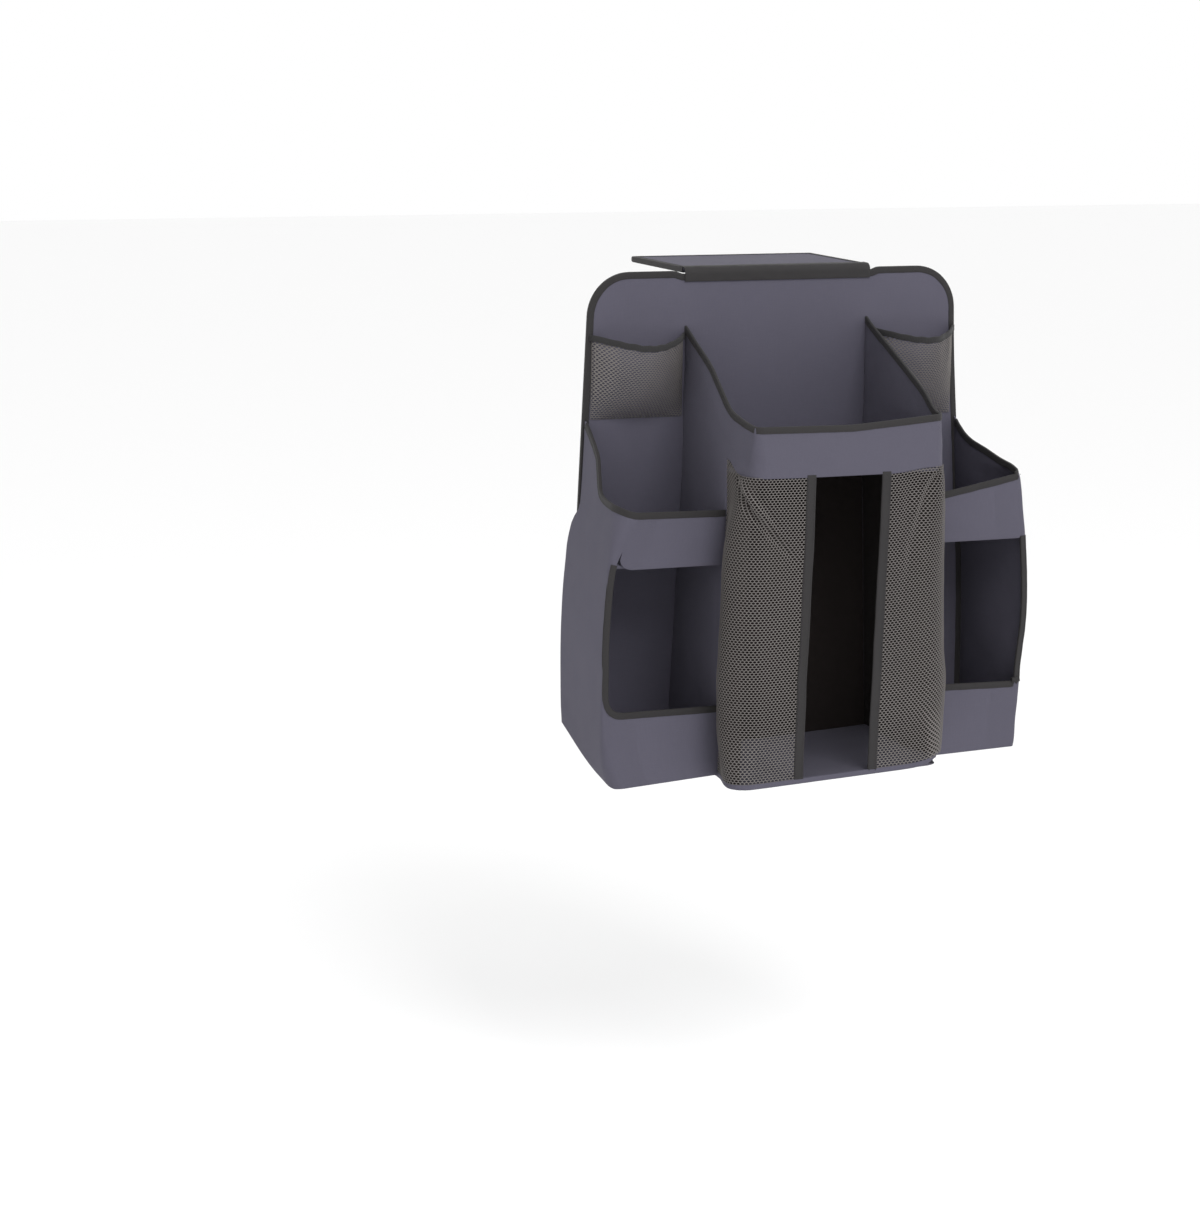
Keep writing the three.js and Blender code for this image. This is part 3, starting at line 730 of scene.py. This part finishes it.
def back_panel():
    panel_layer("panel_front_cloth", PANEL_FACE, THIN_CLOTH, "back_panel_cloth", "grey_cloth")
    panel_layer("panel_lining", PANEL_REAR, 0.9, "back_panel_lining", "black_cloth", rear=True)
    panel_layer("panel_stiffener", 4.5, 2.5, "back_panel_board", "board", stiff=True)
    depth = PANEL_REAR + PANEL_LAYERS / 2
    level = EAR_TOP - PANEL_CORNER
    turn = [pi / 2 * k / 14 for k in range(1, 15)]
    radius = PANEL_CORNER - EDGE_INSET
    slope = [FLAP_HALF + EAR_SLOPE * (1 - k / 6) for k in range(7)]
    heights = [between(PANEL_LOW, level, k / 40) for k in range(41)]
    halves = {}
    for side in SIDES:
        middle = panel_edge(side, level) - PANEL_CORNER
        corner = [(middle + radius * cos(a), level + radius * sin(a)) for a in turn]
        corner += [(x, panel_top(x, EDGE_INSET)) for x in slope]
        halves[side] = [(panel_edge(side, z) - EDGE_INSET, z) for z in heights] + corner
    outline = [(-x, z) for x, z in halves["left"]] + halves["right"][::-1]
    tongue = stacker_half(PANEL_LOW) * (1 - EDGE_INSET / panel_half(PANEL_LOW))
    high, low = PANEL_LOW + 1, STACKER_LOW + EDGE_INSET
    half = panel_half(PANEL_LOW) - 2 * EDGE_INSET
    corners = [(half, high), (tongue, high), (tongue, low), (-tongue, low), (-tongue, high), (-half, high)]
    upper, lower = ([(Vector((x, -depth, z)), -BACK) for x, z in line] for line in (outline, corners))
    tape("panel_edge_tape", upper, PANEL_LAYERS, stands_for=["back_panel_binding"])
    tape("panel_low_edge_tape", lower, PANEL_LAYERS, width=5)


def stacker_back():
    """The black cloth at the back of the stacker."""
    columns, rows = 36, 48
    low, high = STACKER_LOW + FLOOR_THICKNESS + 0.6, SHELF_BOTTOM - 0.4

    def place(i, j):
        z = between(low, high, j / rows)
        half = stacker_half(z) - CLOTH - 0.3
        x = between(-half, half, i / columns)
        edge = min(half - abs(x), z - low, high - z)
        lift = 1.4 * ease(edge / 30) * (1 + unevenness(Vector((x, 40, z)), 60))
        return Vector((x, -PANEL_FACE - 1.1 - lift, z))

    mesh = grid_of(columns, rows, place, (250, 337), LINING)
    made = piece("stacker_back", mesh, "black_cloth", ["stacker_back_cloth"])


# Shelf and stacker
def tapered(sizes, high, low):
    return lambda side, z: between(*sizes[side], ease((high - z) / (high - low)))


def to_panel(side, z):
    return PANEL_FACE + 0.4


def by_height(widths):
    return lambda side, z: smooth_line(widths[side], z)


shelf_wall = Wall(
    SHELF_DEPTH,
    to_panel,
    lambda side, z: 0.0,
    by_height(SHELF_SIDE),
    tapered(SHELF_RADIUS, SHELF_CORNER, SHELF_BOTTOM),
    lambda side, z: SHELF_HALF,
)


def stacker_radius(side, z):
    upper = between(SHELF_RADIUS[side][1], STACKER_RADIUS, ease((SHELF_BOTTOM - z) / 110))
    return between(upper, STACKER_LOW_RADIUS, ease((-480 - z) / 70))


def opening_middle(side, z):
    top, low = OPENING_MIDDLE[side]
    drift = ease((SHELF_BOTTOM - z) / (SHELF_BOTTOM - STACKER_LOW))
    return between(top, low, drift) + 0.7 * grain(z / 45, 5.0, SIDES[side])


stacker_wall = Wall(
    SHELF_DEPTH - 0.5,
    lambda side, z: DIVIDER_DEPTH + 0.4,
    lambda side, z: opening_middle(side, z) + OPENING_TAPE / 2 - 3,
    by_height(STACKER_FRONT),
    stacker_radius,
    by_height(STACKER_MIDDLE),
)


def divider_half(side, out, z):
    """How far aside the divider's outer face is."""
    return between(stacker_half(z), smooth_line(STACKER_MIDDLE[side], z), ease(out / DIVIDER_DEPTH))


def shelf_lip(side, place):
    """The height of the shelf's top edge."""
    corner, _ = shelf_wall.at(side, max(place, 1), SHELF_TOP)
    if place >= 1:
        return smooth_line(SHELF_EDGE[side], -corner.y)
    return between(SHELF_MIDDLE, SHELF_EDGE[side][-1][1], place**1.1)


def shelf_low(side, spot):
    """The height of the shelf's bottom edge at a spot on the wall."""
    corner = SHELF_CORNER_RISE[side] * ease((abs(spot.x) - 50) / 50)
    return SHELF_BOTTOM + between(corner, SHELF_SIDE_RISE, ease((170 + spot.y) / 45))


def stacker_floor_level(x):
    """The height of the stacker's floor at x."""
    share = x / (2 * STACKER_HALF) + 0.5
    return STACKER_LOW + between(STACKER_TILT["left"], STACKER_TILT["right"], share)


def stacker_low(side, place, x=None):
    """The height of the stacker's bottom edge, which lifts a little at the corners."""
    if x is None:
        x = stacker_wall.at(side, place, STACKER_LOW)[0].x
    run = stacker_wall.run(side, place, STACKER_LOW)
    return stacker_floor_level(x) + STACKER_CORNER_RISE[side] * hump(run, 15)


def shelf_swell(side, place, z):
    """How far the shelf's cloth stands off its drawn place."""
    point, _ = shelf_wall.at(side, place, z)
    edge = min(shelf_lip(side, place) - z, z - shelf_low(side, point))
    soft = 1.3 * ease(edge / 25) * unevenness(point + Vector((0, 0, 300)), 60)
    run = shelf_wall.run(side, place, z)
    dent = -2.5 * hump(run - 14, 16) * ease((-165 - z) / 40)
    return soft + dent + pucker(shelf_lip(side, place) - z - TAPE_WIDTH, run)


def shelf():
    """The shelf's walls in one cloth with the two dividers, which hang from the rear part of its sides
    and are lined with black towards the stacker."""
    start = {}
    for side, (_, radius) in SHELF_RADIUS.items():
        start[side] = 2 + (SHELF_DEPTH - radius - DIVIDER_DEPTH) / (SHELF_DEPTH - radius - to_panel(side, 0))
    hanging, drop = 34, 40
    left = ((hanging, -3, -start["left"]), (14, -start["left"], -2), (8, -2, -1), (30, -1, 0))
    right = ((30, 0, 1), (8, 1, 2), (14, 2, start["right"]), (hanging, start["right"], 3))
    columns, place_of = steps(*left, *right)
    rows = 22

    def spot(i):
        side = "left" if i < columns / 2 else "right"
        return side, abs(place_of(i))

    def upper(i, j):
        side, p = spot(i)
        low = shelf_low(side, shelf_wall.at(side, p, SHELF_BOTTOM)[0])
        z = between(low, shelf_lip(side, p), j / rows)
        point, facing = shelf_wall.at(side, p, z)
        return point + facing * shelf_swell(side, p, z)

    def lower(i, j):
        side, _ = spot(i)
        top = upper(i, 0)
        out, low = -top.y, STACKER_LOW + STACKER_TILT[side] + 1
        z = between(low, top.z, j / drop)
        aside = between(abs(top.x), divider_half(side, out, z), ease((top.z - z) / 60))
        edge = min(out - 6, DIVIDER_DEPTH - out, top.z - z, z - low)
        lift = 1.5 * ease(edge / 30) * unevenness(Vector((60 * SIDES[side], out, z)), 65)
        return Vector((SIDES[side] * (aside + lift), -out, z))

    mesh = bmesh.new()
    lay(mesh, columns, rows, upper, (616, 110))
    lay(mesh, hanging, drop, lower, (122, 340))
    lay(mesh, hanging, drop, lambda i, j: lower(columns - hanging + i, j), (122, 340))
    bmesh.ops.remove_doubles(mesh, verts=mesh.verts, dist=MERGE)
    thickened(mesh, CLOTH)
    for face in mesh.faces:
        centre = face.calc_center_median()
        if centre.z < (SHELF_BOTTOM - 1) * MM and face.normal.x * centre.x < 0:
            face.material_index = 1
    walls = ["shelf_side_left", "shelf_side_right", "shelf_front", "divider_left", "divider_right"]
    made = piece("shelf_wall", mesh, "grey_cloth", walls, also=("black_cloth",))
    places = (spot(i) for i in range(columns + 1))
    route = [shelf_wall.at(side, p, shelf_lip(side, p), behind=CLOTH / 2) for side, p in places]
    edge_tape = tape("shelf_edge_tape", route, CLOTH, stands_for=["shelf_binding"])

    def ends(out, z):
        return [SIDES[side] * shelf_wall.reach(side, out, z, CLOTH + 1) for side in SIDES]

    floor("shelf_floor", SHELF_BOTTOM, SHELF_DEPTH - CLOTH + FRONT_SEAM, ends)


def under_shelf(side, place):
    """The height of the shelf's bottom edge at a place on the stacker's wall."""
    return shelf_low(side, stacker_wall.at(side, place, SHELF_BOTTOM)[0])


def net_crease(side, place, z):
    """Folds that hang from the stacker's top corners, and a slight sag elsewhere."""
    run = stacker_wall.run(side, place, z)
    down = max(0.0, SHELF_BOTTOM - z)
    fade = ease(1.15 - down / 130) * ease(down / 8 + 0.3)
    depth, line = (6.5, 36 - 1.08 * down) if side == "left" else (4.5, -4.9 * sqrt(down))
    valley = -depth * hump(run - line, 6) + depth / 2 * hump(run - line + 10, 6)
    second = -2.5 * hump(run - line + 30 - 0.3 * down, 6) * ease(down / 30)
    point, _ = stacker_wall.at(side, place, z)
    edge = min(down, z - STACKER_LOW, 60)
    aside = ease((run - stacker_wall.run(side, 0, z)) / 22)
    soft = 1.6 * ease(edge / 40) * unevenness(point + Vector((0, 0, 90)), 75)
    return fade * aside * (valley + second) + soft


def stacker_net(side):
    """The net from the opening round the stacker's corner to the divider."""
    rows = round((SHELF_BOTTOM - STACKER_LOW) / NET_ROW)

    def ends(z):
        runs = [stacker_wall.run(side, place, z) for place in (0, 3)]
        return runs[::-1] if side == "left" else runs

    start, end = ends((SHELF_BOTTOM + STACKER_LOW) / 2)
    columns = round(abs(end - start) / NET_PITCH)

    def place(i, j):
        near = between(STACKER_LOW, SHELF_BOTTOM, j / rows)
        p = stacker_wall.place_at(side, between(*ends(near), i / columns), near)
        z = between(stacker_low(side, p) + BASE_HEIGHT, under_shelf(side, p) + 1.0, j / rows)
        point, facing = stacker_wall.at(side, p, z)
        return point + facing * net_crease(side, p, z)

    mesh = bars_of_net(columns, rows, place, (columns * NET_PITCH, NET_HEIGHT))
    nodes = [f"stacker_net_{part}_{side}" for part in ("front", "side")]
    made = piece(f"stacker_net_cloth_{side}", mesh, "net", nodes)


def stacker_lining(side):
    """Black cloth behind the net's side, which joins the divider's lining."""
    columns, place_of = steps_of(side, (10, 1.4, 2), (20, 2, 3))
    rows = 40

    def place(i, j):
        p = place_of(i)
        low = stacker_low(side, p) + FLOOR_THICKNESS + ROOM
        z = between(low, under_shelf(side, p) - ROOM, j / rows)
        point, facing = stacker_wall.at(side, p, z, behind=2.2)
        return point + facing * (net_crease(side, p, z) + 0.5 * (unevenness(point, 40) - 1))

    mesh = grid_of(columns, rows, place, (60, NET_HEIGHT), LINING)
    made = piece(f"stacker_lining_{side}", mesh, "black_cloth")


def opening_tape(side):
    """The flat tape that edges the net beside the opening."""
    columns, rows = 6, 110

    def place(i, j):
        z = between(stacker_floor_level(SIDES[side] * 45) + BASE_HEIGHT - 1, SHELF_BOTTOM + 3, j / rows)
        x = SIDES[side] * opening_middle(side, z) + between(-0.5, 0.5, i / columns) * OPENING_TAPE
        lift = net_crease(side, 0, z) + 0.25 * grain(x / 3, z / 7, 2.0)
        return Vector((x, -SHELF_DEPTH - 0.4 - lift, z))

    mesh = grid_of(columns, rows, place, (OPENING_TAPE, NET_HEIGHT), 2.2)
    turn_cloth(mesh)
    for k in range(int((NET_HEIGHT - BASE_HEIGHT) / STITCH_PITCH)):
        z = SHELF_BOTTOM - (k + 0.5) * STITCH_PITCH
        for edge in (-1, 1):
            x = SIDES[side] * opening_middle(side, z) + edge * (OPENING_TAPE / 2 - STITCH_INSET)
            centre = Vector((x, -SHELF_DEPTH - 0.5 - net_crease(side, 0, z), z))
            stitch(mesh, centre, UP, RIGHT, BACK)
    nodes = [f"opening_tape_{side}"]
    made = piece(f"opening_edge_tape_{side}", mesh, "black_tape", nodes, also=("thread",))


def stacker_base():
    """The stacker's floor, with a low band of cloth round its front that the net is sewn to."""
    columns, place_of = steps((20, -3, -2), (12, -2, -1), (48, -1, 1), (12, 1, 2), (20, 2, 3))
    rows = 8

    def place(i, j):
        side = "left" if i < columns / 2 else "right"
        p = abs(place_of(i))
        point, facing = stacker_wall.at(side, p, STACKER_LOW)
        if p < 1:
            point.x = p * stacker_wall.at(side, 1, STACKER_LOW)[0].x
        point.z = stacker_low(side, p, point.x) + j / rows * BASE_HEIGHT
        tuck = 1.6 * (1 - sin(min(1.0, (j + 1) / 4) * pi / 2))
        return point + facing * (0.5 - tuck + 0.3 * unevenness(point, 30))

    mesh = grid_of(columns, rows, place, (390, BASE_HEIGHT), CLOTH)
    base_band = piece("stacker_base_band", mesh, "grey_cloth")

    def ends(out, z):
        if out > DIVIDER_DEPTH:
            return [SIDES[side] * stacker_wall.reach(side, out, z, CLOTH + ROOM) for side in SIDES]
        return [SIDES[side] * (divider_half(side, out, z) - CLOTH - ROOM) for side in SIDES]

    def rise(x, out):
        return stacker_floor_level(x) - STACKER_LOW

    floor("stacker_floor", STACKER_LOW, stacker_wall.depth - CLOTH + FRONT_SEAM, ends, rise)


def turn_cloth(mesh):
    """Turns the cloth's own directions, so that its length runs up."""
    layer = mesh.loops.layers.uv["cloth"]
    for face in mesh.faces:
        for loop in face.loops:
            loop[layer].uv = loop[layer].uv.yx


def floor(name, low, front, ends, rise=lambda x, out: 0.0):
    """A stiff board in a sleeve of cloth, from the panel to its front and between its ends at each distance
    out. It rises above its low level as rise(x, out) says."""
    start = PANEL_FACE + 0.9
    radius = FLOOR_THICKNESS / 2
    flat = front - start - 2 * radius
    girth = 2 * flat + 2 * pi * radius
    columns, around = 40, 112

    def ring(s):
        """Out and height round the sleeve, from the rear along its underside."""
        turn = pi * radius
        if s < flat:
            return start + radius + s, -radius
        if s < flat + turn:
            angle = (s - flat) / radius
            return front - radius + radius * sin(angle), -radius * cos(angle)
        if s < 2 * flat + turn:
            return front - radius - (s - flat - turn), radius
        angle = (s - 2 * flat - turn) / radius
        return start + radius - radius * sin(angle), radius * cos(angle)

    def spot(share, out, height):
        x = between(*ends(out, low + radius), share)
        return Vector((x, -out, low + radius + rise(x, out) + height))

    def place(i, j):
        out, height = ring(j / around * girth)
        point = spot(i / columns, out, height)
        edge = min(out - start, front - out)
        lift = 0.5 * ease(edge / 30) * unevenness(point, 50) * (1 if height > 0 else -0.4)
        return point + Vector((0, 0, lift))

    made = sleeve(f"{name}_sleeve", columns, around, place, (240, girth), [f"{name}_cloth"])

    cells, inset = 20, 0.03

    def board_place(i, j):
        out = between(front - 3, start + 2.4, j / cells)
        return spot(between(inset, 1 - inset, i / cells), out, FLOOR_BOARD / 2)

    mesh = grid_of(cells, cells, board_place, (240, 120), FLOOR_BOARD)
    piece(f"{name}_stiffener", mesh, "board", [f"{name}_board"])


# Pockets and cubbies
def wall_edge(give):
    return lambda side, z: panel_half(z) + 0.3 + CLOTH + smooth_line(give[side], z)


side_wall = Wall(
    CUBBY_DEPTH,
    lambda side, z: 7.6 * ease((z + 278) / 22),
    lambda side, z: smooth_line(STACKER_MIDDLE[side], z) + ROOM,
    wall_edge(FRONT_GIVE),
    by_height(SIDE_RADIUS),
    wall_edge(REAR_GIVE),
)


def on_front(levels, aside):
    """A height that changes evenly from the divider to the outer corner."""
    return between(levels[1], levels[0], min(1.0, max(0.0, (aside - FRONT_START) / FRONT_WIDTH)))


def pocket_lip(side, place):
    """The height of the pocket's top edge."""
    if place < 1:
        return between(POCKET_LIP[side][1], POCKET_LIP[side][0], place)
    point, _ = side_wall.at(side, place, POCKET_LIP[side][0])
    return smooth_line(POCKET_EDGE[side], -point.y)


def turned_up(distance, radius):
    """How far the round corner of a mouth lifts its edge, at a distance from the corner."""
    near = radius - min(radius, max(0.0, distance))
    return radius - sqrt(radius**2 - near**2)


def mouth_edges(side, place):
    """The heights of the cubby mouth's low and high edges."""
    levels = []
    lip = between(LIP_TOP[side][1], LIP_TOP[side][0], min(1, place))
    for height, radius in zip((lip, POCKET_LOW[side]), MOUTH_CORNER[side]):
        run = side_wall.run(side, place, height) - side_wall.run(side, POST, height)
        lift = turned_up(-run, radius) if run <= 0 else radius * (1 - ease(run / 45))
        levels.append(height + lift)
    return levels


def side_low(side, place):
    """The height of the bottom edge, which slopes up towards the panel."""
    point, _ = side_wall.at(side, place, STACKER_LOW)
    front_low = on_front(FRONT_LOW[side], abs(point.x))
    return between(PANEL_LOW, front_low, min(1, -point.y / (CUBBY_DEPTH - 4)))


def side_swell(side, place, z):
    """How far the outer wall's cloth stands off its drawn place."""
    point, _ = side_wall.at(side, place, z)
    low, high = side_low(side, place), pocket_lip(side, place)
    edge = min(z - low, high - z)
    if place < POST:
        edge = min(edge, *(abs(z - mouth) for mouth in mouth_edges(side, place)))
    soft = 1.7 * ease(edge / 30) * ease(-point.y / 30) * unevenness(point + Vector((0, 50, 0)), 75)
    return soft + pucker(high - z - TAPE_WIDTH, side_wall.run(side, place, z))


def side_spot(side, place, z, behind=0.0):
    point, facing = side_wall.at(side, place, z, behind)
    return point + facing * side_swell(side, place, z), facing


def side_cloth(side):
    """One cloth for the outer wall, the pocket's front and the cubby's lip, with the mouth cut out."""
    zones = [(14, 0, 0.75), (14, 0.75, POST), (2, POST, 1), (8, 1, 2), (30, 2, 3)]
    columns, place_of = steps_of(side, *zones)
    rows = {"lip": 14, "mouth": 26, "pocket": 18}

    def place(i, j):
        p = place_of(i)
        low, mouth_low, mouth_high, high = side_low(side, p), *mouth_edges(side, p), pocket_lip(side, p)
        heights = (low, mouth_low, mouth_high, max(high, mouth_high + 1))
        _, height_of = steps(*zip(rows.values(), heights, heights[1:]))
        return side_spot(side, p, height_of(j))[0]

    def keep(i, j):
        on_flank = min(place_of(i), place_of(i + 1)) >= POST - 0.001
        return on_flank or not rows["lip"] <= j < rows["lip"] + rows["mouth"]

    mesh = grid_of(columns, sum(rows.values()), place, (250, 330), CLOTH, keep)
    nodes = [f"outer_wall_{side}", f"pocket_front_{side}", f"cubby_front_{side}"]
    made = piece(f"side_cloth_{side}", mesh, "grey_cloth", nodes)

    places = [place_of(i) for i in range(columns + 1)]
    rim = [side_spot(side, p, pocket_lip(side, p), CLOTH / 2) for p in places]
    rim = [(point, facing) for point, facing in rim if -point.y > PANEL_FACE + 3]
    pocket_tape = tape(f"pocket_edge_tape_{side}", rim, CLOTH, stands_for=[f"pocket_binding_{side}"])
    lip = [side_spot(side, p, mouth_edges(side, p)[0], CLOTH / 2) for p in places if p <= POST + 0.001]
    heights = [between(mouth_edges(side, POST)[0] + 1, MOUTH_TAPE_TOP[side], k / 23) for k in range(24)]
    turned = Vector((SIDES[side] * 0.14, -1, 0)).normalized()
    post = [(side_spot(side, POST, z, CLOTH / 2)[0], turned) for z in heights]
    mouth = post[::-1] + lip if side == "left" else lip + post
    mouth_tape = tape(f"cubby_edge_tape_{side}", mouth, CLOTH, stands_for=[f"cubby_binding_{side}"])
    if side == "right":
        corner, facing = lip[-1]
        moves = (-4, 0, 0), (1, -0.5, 0.4), (5.5, -0.3, 1.4)
        loose = [(corner + Vector(move), facing) for move in moves]
        tape("cubby_tape_end_right", loose, CLOTH + 1, width=6)


def pocket_floors(side):
    """The floors of a pocket and of the cubby below it, between the divider and the outer wall."""

    def ends(out, z):
        inner = divider_half(side, out, z) + 0.6
        return sorted(SIDES[side] * x for x in (inner, side_wall.reach(side, out, z, CLOTH + ROOM)))

    def low_ends(out, z):
        return ends(out, z + slope(180, out))

    def slope(x, out):
        """The cubby's floor slopes down to the front."""
        low = on_front(FRONT_LOW[side], abs(x)) + 0.2
        return between(PANEL_LOW + 3, low, min(1, out / (CUBBY_DEPTH - 3))) - STACKER_LOW

    front = CUBBY_DEPTH - CLOTH - 0.4
    floor(f"pocket_floor_{side}", POCKET_LOW[side] + 1, front, ends)
    floor(f"cubby_floor_{side}", STACKER_LOW, front, low_ends, slope)


# Net pockets
def net_pocket(side):
    outer = NET_OUTER[side]
    width = outer - NET_INNER
    middle = (outer + NET_INNER) / 2
    sag = 9

    def pouch(x):
        return max(0.0, cos(pi * (x - middle) / width))

    def mouth(x):
        return NET_MOUTH - ELASTIC + 3 - sag * pouch(x) ** 1.2

    def out_at(x, down):
        folds = 1.5 * sin(x / 5.2 + 2.2 * sin(x / 17)) * (1 - down) ** 2
        return PANEL_FACE + 1.4 + pouch(x) ** 0.8 * (NET_BULGE * (1 - down**3) + folds)

    def aside(share, spare=0.0):
        return between(NET_INNER - spare, outer + spare, share if side == "right" else 1 - share)

    columns = round(width / NET_PITCH * 1.15)
    rows = round((NET_MOUTH - NET_LOW[side]) / NET_ROW * 1.15)

    def place(i, j):
        x, down = aside(i / columns), 1 - j / rows
        point = Vector((SIDES[side] * x, -out_at(x, down), between(mouth(x), NET_LOW[side], down)))
        return point + Vector((0, 1.2 * (1 - down) * unevenness(point, 22), 0))

    mesh = bars_of_net(columns, rows, place, (columns * NET_PITCH, rows * NET_ROW))
    made = piece(f"net_pouch_{side}", mesh, "net", [f"net_pocket_{side}"])
    route = []
    spots = 60
    for i in range(spots + 1):
        x = aside(i / spots, spare=2)
        lean = sin(pi * (x - middle) / width) * SIDES[side]
        z = mouth(x) + ELASTIC - 1.5 + 0.5 * sin(x / 2.3) * pouch(x)
        facing = Vector((lean * 0.75, -1, 0)).normalized()
        route.append((Vector((SIDES[side] * x, -out_at(x, 0.0), z)), facing))
    stands_for = [f"net_pocket_elastic_{side}"]
    edge = tape(f"net_mouth_elastic_{side}", route, 1.0, "elastic", stands_for=stands_for, width=ELASTIC)


# Flap and straps
def flap():
    """The hanging flap: a cloth sleeve round a stiff board, bound on three edges."""
    columns, around = 48, 60
    low, high = 1.0, 6.2
    middle, radius = (low + high) / 2, (high - low) / 2
    half, start, end = FLAP_HALF - EDGE_INSET, 0.4, FLAP_LENGTH - EDGE_INSET

    def place(i, j):
        angle = -2 * pi * j / around
        y = between(start, end, 0.5 - 0.5 * spread(cos(angle)))
        z = middle + radius * spread(sin(angle) * 3)
        x = between(-half, half, i / columns)
        edge = min(y - start, end - y, half - abs(x))
        lift = 0.35 * ease(edge / 30) * unevenness(Vector((x, y, 77)), 60)
        return Vector((x, y, z + lift * (1 if z > middle else -0.6)))

    made = sleeve("flap_sleeve", columns, around, place, (230, 300), ["flap_cloth"], "flap")
    corner = 3
    turn = [pi / 2 * k / 6 for k in range(7)]
    left = [(-half, 0.5)]
    left += [(-half + corner * (1 - cos(a)), end - corner * (1 - sin(a))) for a in turn]
    outline = left + [(-x, y) for x, y in left[::-1]]
    route = [(Vector((x, y, middle)), UP) for x, y in outline]
    edge = tape("flap_edge_tape", route, high - low, body="flap", stands_for=["flap_binding"])


def spread(value):
    """A sine's value pushed flat, for a sleeve with straight sides and round ends."""
    return tanh(value * 1.6) / tanh(1.6)


def fold_cloth():
    """The cloth hinge between the flap and the panel."""
    columns, around = 70, 16
    radius, drop, back = 7.0, 9.0, 9.0
    half = FLAP_HALF - 0.5
    bend = pi / 2 * radius
    girth = drop + bend + back

    def place(i, j):
        x = between(-half, half, i / columns)
        s = j / around * girth
        size = radius + 0.5 + 0.35 * grain(x / 9, s / 8, 1.0)
        if s < drop:
            return Vector((x, -size, s - drop))
        if s < drop + bend:
            angle = (s - drop) / radius
            return Vector((x, -size * cos(angle), size * sin(angle)))
        return Vector((x, s - drop - bend, size))

    mesh = grid_of(columns, around, place, (232, girth), LINING)
    made = piece("fold_cloth", mesh, "black_tape", body=None)
    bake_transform(made)


def band(name, node, slot, body):
    """A flat strip or patch that fills the box of its CAD node, with stitches along its edges."""
    low, high = (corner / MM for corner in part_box(node))
    columns, rows = 6, max(8, round((high.z - low.z) / 4))
    thick = high.y - low.y

    def place(i, j):
        x, z = between(low.x, high.x, i / columns), between(low.z, high.z, j / rows)
        return Vector((x, low.y + 0.15 * thick * grain(x / 9, z / 12, thick), z))

    mesh = grid_of(columns, rows, place, (high.x - low.x, high.z - low.z), thick * 0.9)
    turn_cloth(mesh)
    for x in (low.x + 1.6, high.x - 1.6):
        for k in range(int((high.z - low.z - 4) / STITCH_PITCH)):
            z = low.z + 3 + k * STITCH_PITCH
            for y in (low.y, high.y - 0.1 * thick):
                stitch(mesh, Vector((x, y, z)), UP, RIGHT, BACK)
    made = piece(name, mesh, slot, [node], body, ("thread",))


def straps(side):
    band(f"strap_seat_{side}", f"strap_anchor_{side}", "webbing", "organizer")
    band(f"strap_band_{side}", f"strap_webbing_{side}", "webbing", f"strap_{side}")
    band(f"strap_hook_{side}", f"strap_hook_patch_{side}", "hook_and_loop", f"strap_{side}")
    band(f"strap_loop_{side}", f"strap_loop_patch_{side}", "hook_and_loop", "organizer")


# Camera, floor and light
def set_up_view():
    data = bpy.data.cameras.new("photo_camera")
    data.sensor_width = SENSOR_WIDTH
    data.lens = FOCAL_PIXELS * SENSOR_WIDTH / PHOTO_HEIGHT
    data.clip_end = 50
    camera = added("photo_camera", data)
    pose = Matrix.Translation(EYE)
    for angle, axis in ((-YAW, "Z"), (90 - PITCH, "X"), (ROLL, "Z")):
        pose @= Matrix.Rotation(radians(angle), 4, axis)
    camera.matrix_world = pose
    bpy.context.scene.camera = camera


def set_up_floor():
    mesh = bmesh.new()
    bmesh.ops.create_grid(mesh, x_segments=1, y_segments=1, size=14)
    for v in mesh.verts:
        v.co.z = FLOOR_LEVEL
    data = mesh_data("floor", mesh)
    shader = Shader("pale_floor")
    shader.fill(shader.surface, {"Base Color": (0.95, 0.95, 0.95, 1), "Roughness": 0.9})
    data.materials.append(shader.material)
    added("floor", data)


def add_light(name, place, target, size, power):
    data = bpy.data.lights.new(name, "AREA")
    data.size = size
    data.energy = power
    turn = (Vector(target) - Vector(place)).to_track_quat("-Z", "Y").to_matrix().to_4x4()
    added(name, data).matrix_world = Matrix.Translation(place) @ turn


def set_up_light():
    world = bpy.data.worlds.new("studio")
    world.use_nodes = True
    sky = world.node_tree.nodes["Background"].inputs
    sky["Color"].default_value = (1, 1, 1, 1)
    sky["Strength"].default_value = 1.0
    bpy.context.scene.world = world
    target = (0, -0.1, -0.28)
    add_light("key", (0.15, -2.7, 2.1), target, 1.6, 62)
    add_light("fill", (2.4, -2.4, 0.6), target, 2.2, 8)
    bpy.context.scene.view_settings.view_transform = "Standard"


set_up_view()
set_up_floor()
set_up_light()
back_panel()
stacker_back()
shelf()
stacker_base()
for side in SIDES:
    stacker_net(side)
    stacker_lining(side)
    opening_tape(side)
    side_cloth(side)
    pocket_floors(side)
    net_pocket(side)
    straps(side)
flap()
fold_cloth()

for material_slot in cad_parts["flap_board"].material_slots:
    material_slot.material = materials["board"]
